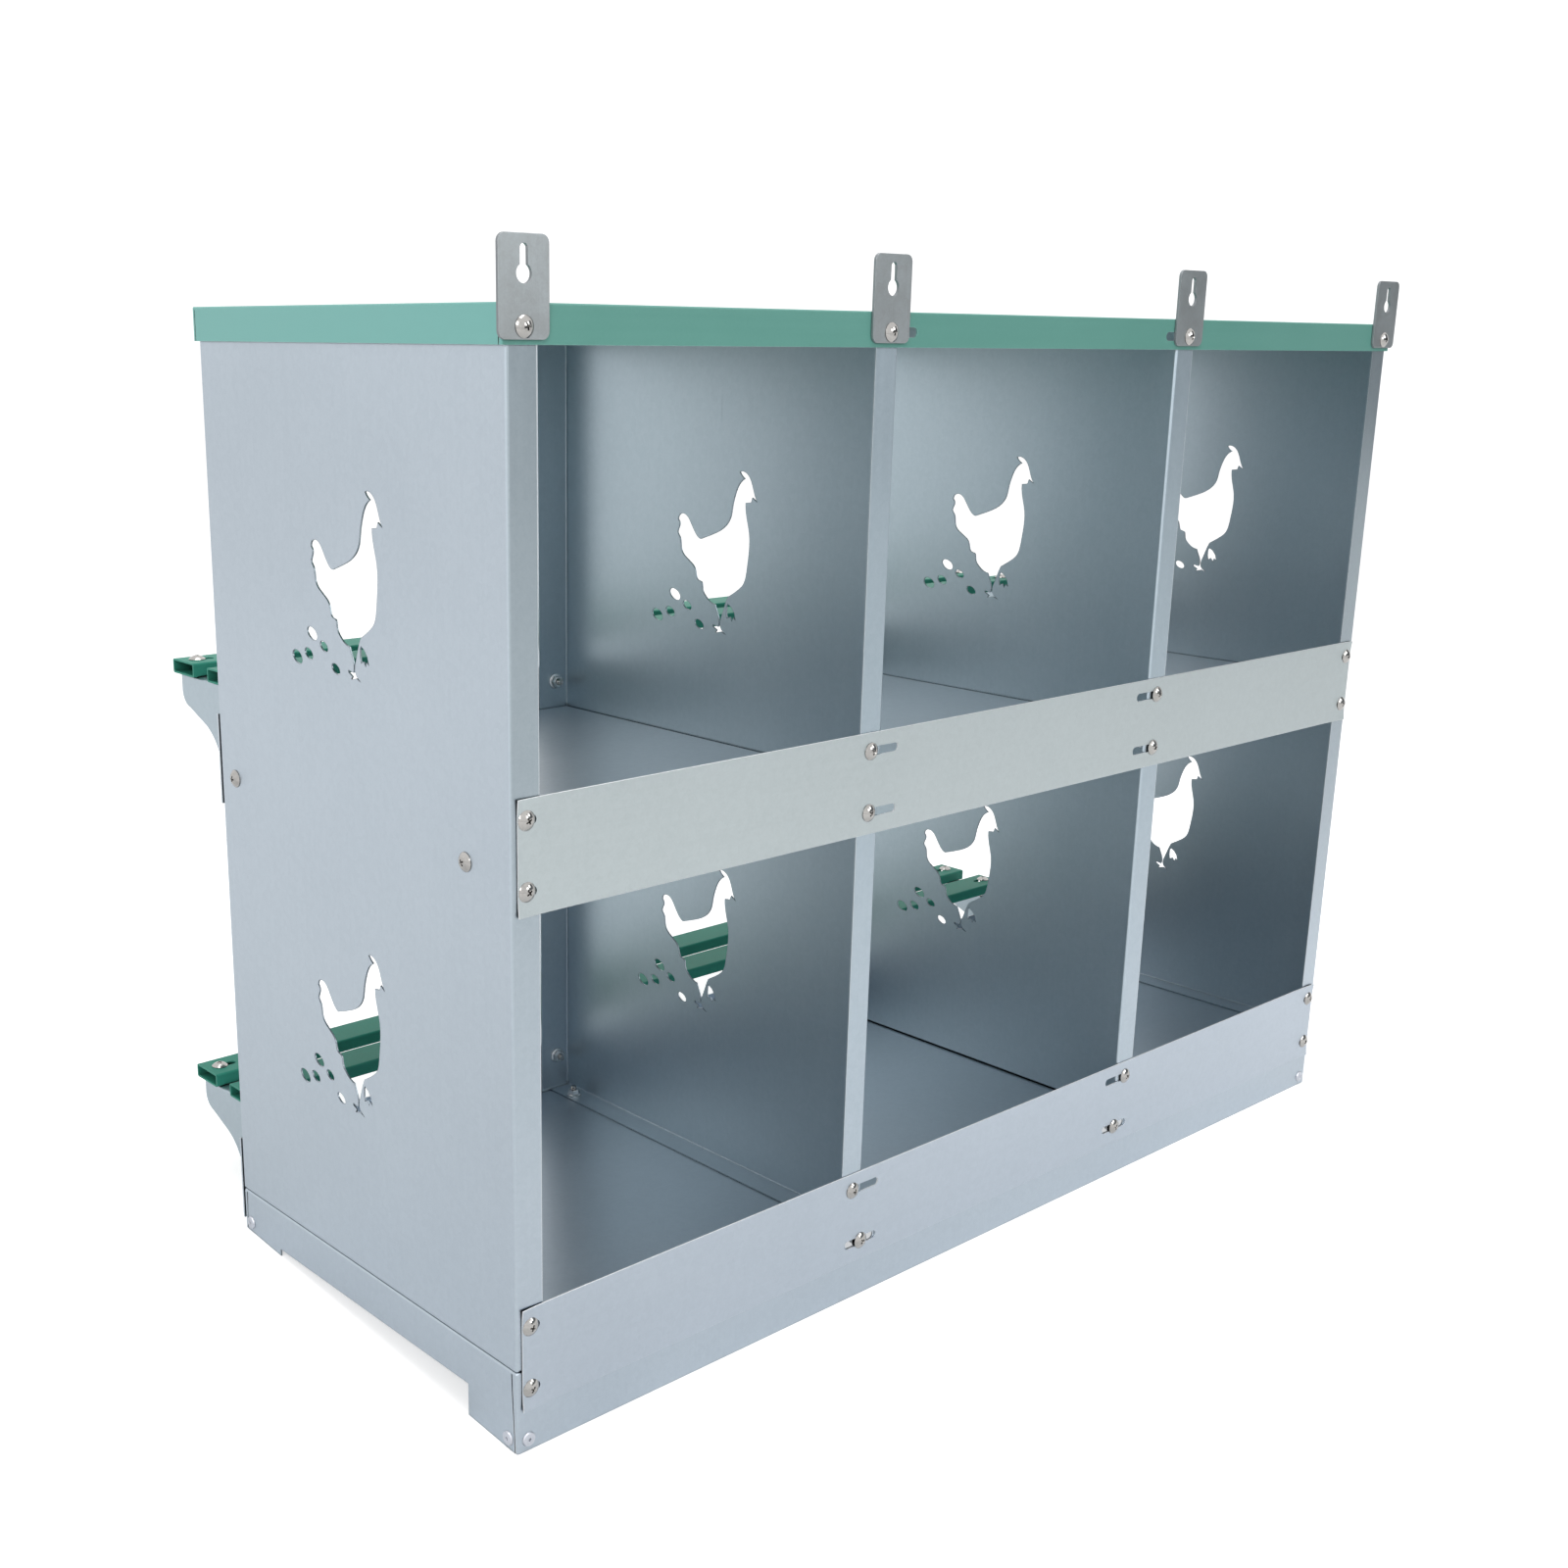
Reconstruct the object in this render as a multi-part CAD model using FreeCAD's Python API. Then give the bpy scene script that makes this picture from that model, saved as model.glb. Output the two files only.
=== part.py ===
import FreeCAD, Part
import os

# Nesting box of folded galvanised sheet: three nests side by side on two levels.
# It hangs by four keyhole tabs on its rear face, and two levels of perches stand out in front.
# X runs along the row of nests, Y points to the rear, Z is up, all in millimetres.
# The origin is the middle of the whole object's footprint, at the lowest edge of the feet.

V = FreeCAD.Vector
X_AXIS = V(1, 0, 0)
Y_AXIS = V(0, 1, 0)
Z_AXIS = V(0, 0, 1)

# Box
NEST_PITCH = 300.0         # from one partition to the next
BOX_DEPTH = 325.0          # from the rear face to the front face
PANEL_HEIGHT = 610.0       # side panels and partitions
SHEET = 1.0
FOLD_RADIUS = 2.0          # outside radius of the folds
FLANGE = 20.0              # width of the panels' rear and foot flanges
FRONT_FLANGE = 28.0        # and of their front flanges
REAR_COLUMN = 10.0         # from a panel's face to the screws in its rear flange
FRONT_COLUMN = 12.5        # and in its front flange
RELIEF = 0.6               # slit between the floor flange and the upright flanges
CUT_PAST = 5.0             # how far a cutter runs past what it cuts
TOUCH = 1e-6               # places closer than this are one

# Plinth
PLINTH_HEIGHT = 55.0       # rear skirt, up to the tray's top
FRONT_SKIRT = 31.0         # front skirt, from the tray's top down
FOOT_LENGTH = 49.5         # length of each foot along the side skirt
NOTCH_DROP = 29.6          # from the tray's top down to the notch between the feet
SKIRT_SLOT = 28.0          # length of the slots in the skirts, behind the rails' at the partitions
SEAM_GAP = 0.8             # open seams at the corners of the plinth and the lid
SEAM_TOP = 4.2             # the plinth seam's distance from the corner at the top
SEAM_FOOT = 1.2            # and at the foot
ANGLE_LEG = 16.0           # angles inside the feet
ANGLE_HEIGHT = 11.0
ANGLE_LIFT = 0.5           # from the skirt's lower edge to the angle
RIVET_RISE = 6.0           # from the angle's lower edge to the rivet
RIVET_INSET = 8.8          # from the corner to the rivet, along either skirt
RIVET_HEAD = 9.5
RIVET_HEAD_HEIGHT = 1.5
RIVET_SHANK = 4.8
RIVET_TAIL = 7.0
RIVET_TAIL_HEIGHT = 2.2
RIVET_BORE = 2.2           # dimple left by the pulled mandrel
RIVET_BORE_DEPTH = 1.1
RIVET_PLAY = 0.2           # between a rivet's shank and its hole

# Lid
LID_SKIRT = 21.0
LID_FOLD = 1.0             # outside radius of the lid's folds, sharp inside
LID_SEAM = 2.4             # the lid seam's distance from its corner
LID_SIDE_GAP = 2.0         # between the lid's side skirts and the side panels
LID_SCREW_RISE = 9.0       # from the lid skirt's lower edge to its screws

# Shelves, the floors of the upper nests
SHELF_RISE = 318.0         # from the tray's top to the shelves' top
SHELF_FLANGE = 20.0
SHELF_SCREW_DROP = 11.0    # from the shelf's top to its screws
SHELF_SCREW_REAR = 43.0    # screws' distance from the rear face
SHELF_SCREW_FRONT = 19.0   # and from the front face
SHELF_PLAY = 0.2           # between the shelf's ends and the folds of the panels

# Litter rails
RAIL_HEIGHT = 68.0
RAIL_DROP = 27.0           # from the tray's top down to the bottom rails' lower edge
LEVEL_PITCH = 310.0        # from the bottom rails to the middle rails, and from perch to perch
RAIL_END_GAP = 4.0         # from the rail's end to the box's side
RAIL_SCREW_TOP = 12.5      # from the rail's upper edge to its upper screws
RAIL_SCREW_FOOT = 14.5     # from the rail's lower edge to its lower screws
SLOT_LENGTH = 32.0         # slots in the rails and the lid, at the partitions
SLOT_WIDTH = 6.0
END_SLOT = 10.0            # length of the slots at the rails' ends, the screw at its outer end

# Hanger tabs
TAB_SHEET = 2.0
TAB_WIDTH = 33.0
TAB_HEIGHT = 52.0
TAB_CORNER = 4.5
TAB_SCREW_RISE = 6.5       # from the tab's lower edge to its screw
KEYHOLE_RADIUS = 5.0
KEYHOLE_RISE = 32.5        # from the tab's lower edge to the middle of the keyhole's round part
KEYHOLE_SLOT = 5.3
KEYHOLE_TOP = 4.8          # from the end of the keyhole's slot to the tab's upper edge

# Perches and their brackets
PERCH_DEPTH = 30.0
PERCH_HEIGHT = 10.0
PERCH_WALL = 1.2
PERCH_CORNER = 1.5
PERCH_END_GAP = 17.0       # from the perch's end to the box's side
PERCH_GAP = 20.0           # between the two perches of a level
PERCH_REACH = 96.0         # from the box's front face to the outer perch's far side
PERCH_RISE = 61.5          # from the tray's top to the top of the lower level's perches
PERCH_SCREW_INSET = 11.0   # from the perch's end to its screw
PERCH_SLOT = 16.0          # length of the slot that the screw passes through
BRACKET_SHEET = 1.5
BRACKET_FOLD = 2.0         # outside radius of the bracket's folds
BRACKET_INSET = 20.0       # from the box's side to the bracket's web
BRACKET_TAB = 21.0         # width of the tab under the perches
BRACKET_TAB_LEG = 6.0      # how far the tab's fold runs down the web
BRACKET_MARGIN = 3.0       # from the rail's edges to the bracket's flange
BRACKET_LEG = 36.0         # how far the bracket's lower leg stands out from the rail
BRACKET_TIP = 6.0          # from the bracket's tip to the outer perch's far side
WAIST_DROP = 58.0          # from the outer perch's underside to where the leg starts to flare
FLARE = (7.5, 15.0)        # middle of the flare, from its start
FLARE_END = (21.0, 25.5)   # end of the flare, from its start
CHIN_START = (10.0, 23.5)  # start of the tip's curve: back from the tip, below the underside
CHIN_MIDDLE = (2.5, 19.0)
CHIN_END = (0.0, 11.5)

# Fasteners, all of one size
SCREW_SHANK = 5.0
SCREW_HEAD = 11.8
SCREW_HEAD_HEIGHT = 3.1
SCREW_RIM = 0.5            # straight rim under the head's dome
SCREW_PROUD = 2.5          # how far the tip stands out of the nut
SCREW_TIP = 0.5            # bevel of the tip
RECESS_SPAN = 5.4          # cross recess in the head
RECESS_WIDTH = 1.1
RECESS_DEPTH = 1.6
SCREW_PLAY = 0.3           # between a screw's shank and its hole
NUT_ACROSS = 8.0
NUT_HEIGHT = 5.0
NUT_FLANGE = 11.6
NUT_FLANGE_HEIGHT = 1.2
NUT_PLAY = 0.1             # between a screw's shank and the nut's bore
FLOOR_SCREW_INSET = 23.0   # from the front and the rear face to the screws in the tray

# Cut-outs in each web. A motif's origin is given as its distance from the rear face and its
# height above the web's lower edge; its points are (towards the front, up) from there.
MOTIF_ORIGINS = ((125.0, 395.0), (137.0, 111.0))
HEN_BEAK = (-6.9, 93.1)
HEN_FOREHEAD = [HEN_BEAK, (-2.7, 100.6), (1.0, 108.8), (3.9, 111.6), (7.7, 113.0), (10.8, 112.5)]
HEN_CREST = [(10.8, 112.5), (8.6, 110.0), (5.9, 108.3)]
HEN_NECK = [(5.9, 108.3), (12.1, 103.1), (15.4, 96.0), (17.4, 89.1), (18.9, 82.1),
            (21.2, 78.0), (25.8, 73.7), (32.5, 70.1), (41.7, 66.7), (48.8, 64.3)]
HEN_TAIL = [(48.8, 64.3), (58.7, 73.7), (66.6, 80.5), (71.0, 79.6), (72.6, 76.2)]
HEN_FEATHERS = [(72.6, 76.2), (71.1, 71.8), (72.8, 67.2), (70.5, 63.8), (69.5, 59.4), (68.3, 54.5),
                (63.5, 50.0), (54.2, 42.8), (53.1, 39.3), (51.4, 35.9), (47.3, 34.5),
                (46.0, 29.3), (43.0, 25.1), (38.2, 21.6), (32.9, 20.0)]
HEN_SHIN = [(32.9, 20.0), (29.9, 13.3), (28.6, 8.9), (29.4, 4.8)]
HEN_FOOT = [(29.4, 4.8), (34.8, 5.8), (34.9, 4.5), (30.5, 2.4), (32.2, 0.5), (26.2, 1.9),
            (20.9, -0.2), (26.2, 3.0), (27.6, 5.4)]
HEN_LEG = [(27.6, 5.4), (27.2, 10.0), (25.0, 15.6), (23.0, 21.2), (20.5, 26.6)]
HEN_BREAST = [(20.5, 26.6), (10.0, 32.9), (5.5, 36.9), (2.0, 48.2), (0.2, 63.8), (0.5, 70.7),
              (3.3, 81.6), (4.7, 92.3)]
HEN_CHIN = [(4.7, 92.3), (-0.5, 92.9), (-1.7, 96.2), HEN_BEAK]
HEN_CURVES = [HEN_FOREHEAD, HEN_CREST, HEN_NECK, HEN_TAIL, HEN_FEATHERS, HEN_SHIN, HEN_FOOT,
              HEN_LEG, HEN_BREAST, HEN_CHIN]
HEN_STRAIGHT = [HEN_FOOT, HEN_CHIN]
HEN_FAR_LEG = [(20.2, 22.0), (16.6, 20.0), (13.6, 16.4), (12.0, 11.2), (14.4, 13.2), (15.6, 10.1),
               (17.8, 13.2), (20.6, 11.6), (21.4, 15.2), (21.3, 20.0)]
# middle towards the front, middle up, long axis, short axis
OVALS = [(75.0, 23.0, 12.0, 7.0), (61.8, 16.6, 9.4, 5.5), (79.8, 10.0, 10.0, 6.2),
         (93.5, 6.3, 12.0, 7.6), (49.0, 4.5, 9.8, 5.6)]
OVAL_LEAN = 23.0           # degrees that the front end of each oval is raised

# Places that follow from the sizes above
HALF_WIDTH = 1.5 * NEST_PITCH
WEDGE_RISE = PLINTH_HEIGHT - FRONT_SKIRT               # how much higher the front feet end
HEAD_REACH = SHEET + TAB_SHEET + SCREW_HEAD_HEIGHT     # from the rear face to the rearmost point
REAR = (BOX_DEPTH + PERCH_REACH - HEAD_REACH) / 2      # rear face of the panels
FRONT = REAR - BOX_DEPTH                               # front face of the panels
PANEL_TOP = PLINTH_HEIGHT + PANEL_HEIGHT
LID_TOP = PANEL_TOP + SHEET
LID_FOOT = LID_TOP - LID_SKIRT
LID_SCREW_Z = LID_FOOT + LID_SCREW_RISE
TAB_FOOT = LID_SCREW_Z - TAB_SCREW_RISE
SHELF_TOP = PLINTH_HEIGHT + SHELF_RISE
RAIL_LOW = PLINTH_HEIGHT - RAIL_DROP
PERCH_TOP = PLINTH_HEIGHT + PERCH_RISE
SHELF_SCREW_Z = SHELF_TOP - SHELF_SCREW_DROP
PARTITION_X = NEST_PITCH / 2                           # face of a partition towards the middle
FACES = {"rear": (REAR, -1), "front": (FRONT, 1)}      # where each face is, and its way inward
COLUMNS = {"rear": REAR_COLUMN, "front": FRONT_COLUMN}
OUTER_COLUMNS = {face: HALF_WIDTH - inset for face, inset in COLUMNS.items()}
INNER_COLUMNS = {face: PARTITION_X + inset for face, inset in COLUMNS.items()}
LEVEL_RISES = {"lower": 0.0, "upper": LEVEL_PITCH}
RAIL_SCREW_LOW = RAIL_LOW + RAIL_SCREW_FOOT
RAIL_SCREW_HIGH = RAIL_LOW + RAIL_HEIGHT - RAIL_SCREW_TOP
BRACKET_X = HALF_WIDTH - BRACKET_INSET                 # outer face of a bracket's web
PERCH_HALF = HALF_WIDTH - PERCH_END_GAP
PERCH_SCREW_X = PERCH_HALF - PERCH_SCREW_INSET
OUTER_PERCH_Y = FRONT - PERCH_REACH + PERCH_DEPTH / 2
PERCHES = {"outer": OUTER_PERCH_Y, "inner": OUTER_PERCH_Y + PERCH_DEPTH + PERCH_GAP}
HOLE_RADIUS = SCREW_SHANK / 2 + SCREW_PLAY
SIDE_PAIRS = (("left", "right"), ("front", "rear"), ("bottom", "top"))     # along X, Y and Z
SIDES = {name: (axis, end) for axis, pair in enumerate(SIDE_PAIRS) for name, end in zip(pair, (-1, 1))}


def both_sides(*places):
    """The same places on the right and the left side of the box."""
    return [side * x for x in places for side in (-1, 1)]


def block(low, high):
    """Box between its lowest and its highest corner."""
    return Part.makeBox(high[0] - low[0], high[1] - low[1], high[2] - low[2], V(*low))


def mirrored(shape):
    """The same shape on the other side of the box."""
    return shape.mirror(V(0, 0, 0), X_AXIS)


def moved(shape, x, y, z):
    """Copy of a shape at another place."""
    copy = shape.copy()
    copy.translate(V(x, y, z))
    return copy


def aimed(shape, point, direction):
    """Copy of a shape made along Z at the origin, set at a point and turned along a direction."""
    copy = shape.copy()
    copy.Placement = FreeCAD.Placement(point, FreeCAD.Rotation(Z_AXIS, direction))
    return copy


def rounded_block(low, high, open_sides, radius):
    """Box whose edges between two closed sides are rounded."""
    solid = block(low, high)
    if radius <= 0:
        return solid
    limits = {-1: low, 1: high}
    closed = [place for name, place in SIDES.items() if name not in open_sides]
    folds = []
    for edge in solid.Edges:
        middle = edge.BoundBox.Center
        touching = [1 for axis, end in closed if abs(middle[axis] - limits[end][axis]) < TOUCH]
        if len(touching) == 2:
            folds.append(edge)
    return solid.makeFillet(radius, folds)


def folded_sheet(low, high, open_sides, sheet=SHEET, radius=FOLD_RADIUS):
    """Sheet that lies inside a box along each of its closed sides, with round folds."""
    inner_low = list(low)
    inner_high = list(high)
    for name, (axis, end) in SIDES.items():
        shift = -CUT_PAST if name in open_sides else sheet
        if end < 0:
            inner_low[axis] += shift
        else:
            inner_high[axis] -= shift
    outside = rounded_block(low, high, open_sides, radius)
    inside = rounded_block(inner_low, inner_high, open_sides, radius - sheet)
    return outside.cut(inside)


def prism(points, direction):
    """Solid swept from a closed polygon."""
    return Part.Face(Part.makePolygon(points + [points[0]])).extrude(direction)


def slot(middle, length, width, direction, along=X_AXIS):
    """Cutter for a slot with round ends, swept along a direction on both sides of its middle."""
    start = middle - direction * CUT_PAST
    depth = direction * (2 * CUT_PAST)
    radius = width / 2
    reach = along * (length / 2 - radius)
    across = direction.cross(along) * radius
    corners = [start + reach + across, start - reach + across,
               start - reach - across, start + reach - across]
    ends = [Part.makeCylinder(radius, 2 * CUT_PAST, start + end, direction)
            for end in (reach, -reach)]
    return prism(corners, depth).fuse(ends)


def hole(point, direction, radius=HOLE_RADIUS):
    """Cutter for a round hole, swept along a direction on both sides of its middle."""
    return Part.makeCylinder(radius, 2 * CUT_PAST, point - direction * CUT_PAST, direction)


# Cut-outs

def motif_point(origin, towards_front, up):
    """Point of a motif on the web's face."""
    return V(0, REAR - origin[0] - towards_front, PLINTH_HEIGHT + origin[1] + up)


def hen_body(origin):
    """Closed outline of the hen, with sharp tips between smooth stretches."""
    edges = []
    for stretch in HEN_CURVES:
        points = [motif_point(origin, *point) for point in stretch]
        if stretch in HEN_STRAIGHT:
            edges += Part.makePolygon(points).Edges
            continue
        curve = Part.BSplineCurve()
        curve.interpolate(points)
        edges.append(curve.toShape())
    return Part.Face(Part.Wire(edges))


def oval(origin, towards_front, up, long_axis, short_axis):
    """One oval hole's outline, its front end raised."""
    ellipse = Part.Ellipse(V(0, 0, 0), long_axis / 2, short_axis / 2)
    face = Part.Face(Part.Wire(ellipse.toShape()))
    upright = FreeCAD.Rotation(V(0, -1, 0), V(0, 0, 1), X_AXIS, "XYZ")
    lean = FreeCAD.Rotation(X_AXIS, -OVAL_LEAN)
    face.Placement = FreeCAD.Placement(motif_point(origin, towards_front, up), lean * upright)
    return face


def motif(origin):
    """Cutter for one hen, her far leg and the ovals behind her."""
    far_leg = [motif_point(origin, *point) for point in HEN_FAR_LEG]
    faces = [hen_body(origin), Part.Face(Part.makePolygon(far_leg + [far_leg[0]]))]
    faces += [oval(origin, *size) for size in OVALS]
    swept = [face.extrude(X_AXIS * (2 * CUT_PAST)) for face in faces]
    return moved(Part.makeCompound(swept), -CUT_PAST, 0, 0)


# Sheet metal

def flanged_panel():
    """Panel with its face on x = 0 and its flanges folded towards -X at rear, front and foot."""
    panel = folded_sheet((-FRONT_FLANGE, FRONT, PLINTH_HEIGHT), (0, REAR, PANEL_TOP), ("left", "top"))
    cutters = [motif(origin) for origin in MOTIF_ORIGINS]
    cutters.append(block((-FRONT_FLANGE - CUT_PAST, FRONT + FOLD_RADIUS, PLINTH_HEIGHT - CUT_PAST),
                         (-FLANGE, REAR + CUT_PAST, PANEL_TOP + CUT_PAST)))
    for face, (y, inward) in FACES.items():
        column = -COLUMNS[face]
        relief = y + inward * FOLD_RADIUS
        low = min(relief, relief + inward * RELIEF)
        cutters.append(block((-FRONT_FLANGE - CUT_PAST, low, PLINTH_HEIGHT - CUT_PAST),
                             (-FOLD_RADIUS, low + RELIEF, PLINTH_HEIGHT + FOLD_RADIUS)))
        heights = [RAIL_SCREW_HIGH, RAIL_SCREW_LOW + LEVEL_PITCH, RAIL_SCREW_HIGH + LEVEL_PITCH,
                   LID_SCREW_Z]
        cutters += [hole(V(column, y, z), Y_AXIS) for z in heights]
        cutters.append(hole(V(column, y + inward * FLOOR_SCREW_INSET, PLINTH_HEIGHT), Z_AXIS))
    for y in (REAR - SHELF_SCREW_REAR, FRONT + SHELF_SCREW_FRONT):
        cutters.append(hole(V(0, y, SHELF_SCREW_Z), X_AXIS))
    return panel.cut(cutters)


def wedge_height(y):
    """Height of the feet's sloping lower edge."""
    return WEDGE_RISE * (REAR - y) / BOX_DEPTH


def seams(half_width, y, inward, top, foot, inset_top, inset_foot):
    """Cutter for the open seams beside one end's two corners."""
    corners = [V(0, y + inward * inset_top, top), V(0, y + inward * (inset_top + SEAM_GAP), top),
               V(0, y + inward * (inset_foot + SEAM_GAP), foot), V(0, y + inward * inset_foot, foot)]
    right = moved(prism(corners, X_AXIS * (2 * CUT_PAST)), half_width - CUT_PAST, 0, 0)
    return [right, mirrored(right)]


def base_tray():
    """Plinth: tray with four skirts, its side skirts notched between the feet."""
    tray = folded_sheet((-HALF_WIDTH, FRONT, 0), (HALF_WIDTH, REAR, PLINTH_HEIGHT), ("bottom",))
    below = [V(-HALF_WIDTH - CUT_PAST, REAR, 0), V(-HALF_WIDTH - CUT_PAST, FRONT, WEDGE_RISE),
             V(-HALF_WIDTH - CUT_PAST, FRONT - CUT_PAST, WEDGE_RISE),
             V(-HALF_WIDTH - CUT_PAST, FRONT - CUT_PAST, -CUT_PAST),
             V(-HALF_WIDTH - CUT_PAST, REAR, -CUT_PAST)]
    cutters = [prism(below, X_AXIS * (2 * (HALF_WIDTH + CUT_PAST)))]
    cutters.append(block((-HALF_WIDTH - CUT_PAST, FRONT + FOOT_LENGTH, -CUT_PAST),
                         (HALF_WIDTH + CUT_PAST, REAR - FOOT_LENGTH, PLINTH_HEIGHT - NOTCH_DROP)))
    seam_top = PLINTH_HEIGHT - FOLD_RADIUS
    for face, (y, inward) in FACES.items():
        outer = OUTER_COLUMNS[face]
        cutters += seams(HALF_WIDTH, y, inward, seam_top, -CUT_PAST, SEAM_TOP, SEAM_FOOT)
        cutters += [hole(V(x, y, RAIL_SCREW_LOW), Y_AXIS) for x in both_sides(outer)]
        cutters += [slot(V(x, y, RAIL_SCREW_LOW), SKIRT_SLOT, SLOT_WIDTH, Y_AXIS)
                    for x in both_sides(PARTITION_X)]
        for x in both_sides(INNER_COLUMNS[face], outer):
            cutters.append(hole(V(x, y + inward * FLOOR_SCREW_INSET, PLINTH_HEIGHT), Z_AXIS))
    cutters += rivet_holes()
    return tray.cut(cutters)


def angle_foot(y):
    """Lower edge of the corner angle at the rear or the front skirt."""
    inner = y - (SHEET + ANGLE_LEG) if y == REAR else y
    return wedge_height(inner) + ANGLE_LIFT


def corner_angle(y, end):
    """Angle inside a right-hand foot, against both skirts."""
    face = y - SHEET if end == "rear" else y + SHEET
    tip = face - ANGLE_LEG if end == "rear" else face + ANGLE_LEG
    low = (HALF_WIDTH - SHEET - ANGLE_LEG, min(face, tip), angle_foot(y))
    high = (HALF_WIDTH - SHEET, max(face, tip), angle_foot(y) + ANGLE_HEIGHT)
    open_sides = ("left", "bottom", "top", "front" if end == "rear" else "rear")
    angle = folded_sheet(low, high, open_sides)
    return angle.cut(rivet_holes())


def rivet_places():
    """Outer face and inward direction of each rivet of the right-hand feet.

    The bottom rail covers the front skirt there, so the front foot's rivet is in its side only.
    """
    rear_z = angle_foot(REAR) + RIVET_RISE
    front_z = angle_foot(FRONT) + RIVET_RISE
    return [(V(HALF_WIDTH, REAR - RIVET_INSET, rear_z), X_AXIS * -1),
            (V(HALF_WIDTH - RIVET_INSET, REAR, rear_z), Y_AXIS * -1),
            (V(HALF_WIDTH, FRONT + RIVET_INSET, front_z), X_AXIS * -1)]


def rivet_holes():
    """Cutters for all the rivets' holes."""
    radius = RIVET_SHANK / 2 + RIVET_PLAY
    right = [hole(point, direction, radius) for point, direction in rivet_places()]
    return right + [mirrored(cutter) for cutter in right]


def shelf(x0, x1):
    """Floor of an upper nest, with a flange down each panel beside it."""
    end = FOLD_RADIUS + SHELF_PLAY
    floor = folded_sheet((x0, FRONT + end, SHELF_TOP - SHELF_FLANGE), (x1, REAR - end, SHELF_TOP),
                         ("bottom", "front", "rear"))
    cutters = [hole(V(x, y, SHELF_SCREW_Z), X_AXIS) for x in (x0, x1)
               for y in (REAR - SHELF_SCREW_REAR, FRONT + SHELF_SCREW_FRONT)]
    return floor.cut(cutters)


def rail(face, rise):
    """Flat litter rail on the outside of the flanges, with slots at its ends and the partitions."""
    end = HALF_WIDTH - RAIL_END_GAP
    y, inward = FACES[face]
    low = min(y, y - inward * SHEET)
    strip = block((-end, low, RAIL_LOW + rise), (end, low + SHEET, RAIL_LOW + rise + RAIL_HEIGHT))
    slot_x = OUTER_COLUMNS[face] + SLOT_WIDTH / 2 - END_SLOT / 2
    cutters = []
    for z in (RAIL_SCREW_LOW + rise, RAIL_SCREW_HIGH + rise):
        cutters += [slot(V(x, y, z), END_SLOT, SLOT_WIDTH, Y_AXIS) for x in both_sides(slot_x)]
        cutters += [slot(V(x, y, z), SLOT_LENGTH, SLOT_WIDTH, Y_AXIS) for x in both_sides(PARTITION_X)]
    return strip.cut(cutters)


def lid():
    """Lid with a skirt down all four sides, its front and rear skirts against the flanges."""
    half = HALF_WIDTH + LID_SIDE_GAP + SHEET
    cover = folded_sheet((-half, FRONT - SHEET, LID_FOOT), (half, REAR + SHEET, LID_TOP),
                         ("bottom",), radius=LID_FOLD)
    cutters = []
    for face, (y, inward) in FACES.items():
        cutters += seams(half, y - inward * SHEET, inward, LID_TOP - FOLD_RADIUS,
                         LID_FOOT - CUT_PAST, LID_SEAM, LID_SEAM)
        cutters += [hole(V(x, y, LID_SCREW_Z), Y_AXIS) for x in both_sides(OUTER_COLUMNS[face])]
        cutters += [slot(V(x, y, LID_SCREW_Z), SLOT_LENGTH, SLOT_WIDTH, Y_AXIS)
                    for x in both_sides(PARTITION_X)]
    return cover.cut(cutters)


def hanger_tab(x):
    """Tab with a keyhole, standing up from the lid's rear skirt."""
    face = REAR + SHEET
    plate = block((x - TAB_WIDTH / 2, face, TAB_FOOT),
                  (x + TAB_WIDTH / 2, face + TAB_SHEET, TAB_FOOT + TAB_HEIGHT))
    corners = [edge for edge in plate.Edges if edge.BoundBox.YLength > TAB_SHEET / 2]
    plate = plate.makeFillet(TAB_CORNER, corners)
    round_z = TAB_FOOT + KEYHOLE_RISE
    slot_length = TAB_FOOT + TAB_HEIGHT - KEYHOLE_TOP - round_z
    keyhole = [hole(V(x, face, round_z), Y_AXIS, KEYHOLE_RADIUS),
               slot(V(x, face, round_z + slot_length / 2), slot_length, KEYHOLE_SLOT, Y_AXIS,
                    Z_AXIS)]
    return plate.cut(keyhole + [hole(V(x, face, LID_SCREW_Z), Y_AXIS)])


# Perches

def perch(y, top):
    """Rectangular tube with a slot at each end for its screw."""
    low = (-PERCH_HALF, y - PERCH_DEPTH / 2, top - PERCH_HEIGHT)
    high = (PERCH_HALF, y + PERCH_DEPTH / 2, top)
    tube = folded_sheet(low, high, ("left", "right"), PERCH_WALL, PERCH_CORNER)
    slot_x = PERCH_SCREW_X + SLOT_WIDTH / 2 - PERCH_SLOT / 2
    cutters = [slot(V(side * slot_x, y, z), PERCH_SLOT, SLOT_WIDTH, Z_AXIS)
               for side in (-1, 1) for z in (top, top - PERCH_HEIGHT)]
    return tube.cut(cutters)


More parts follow.
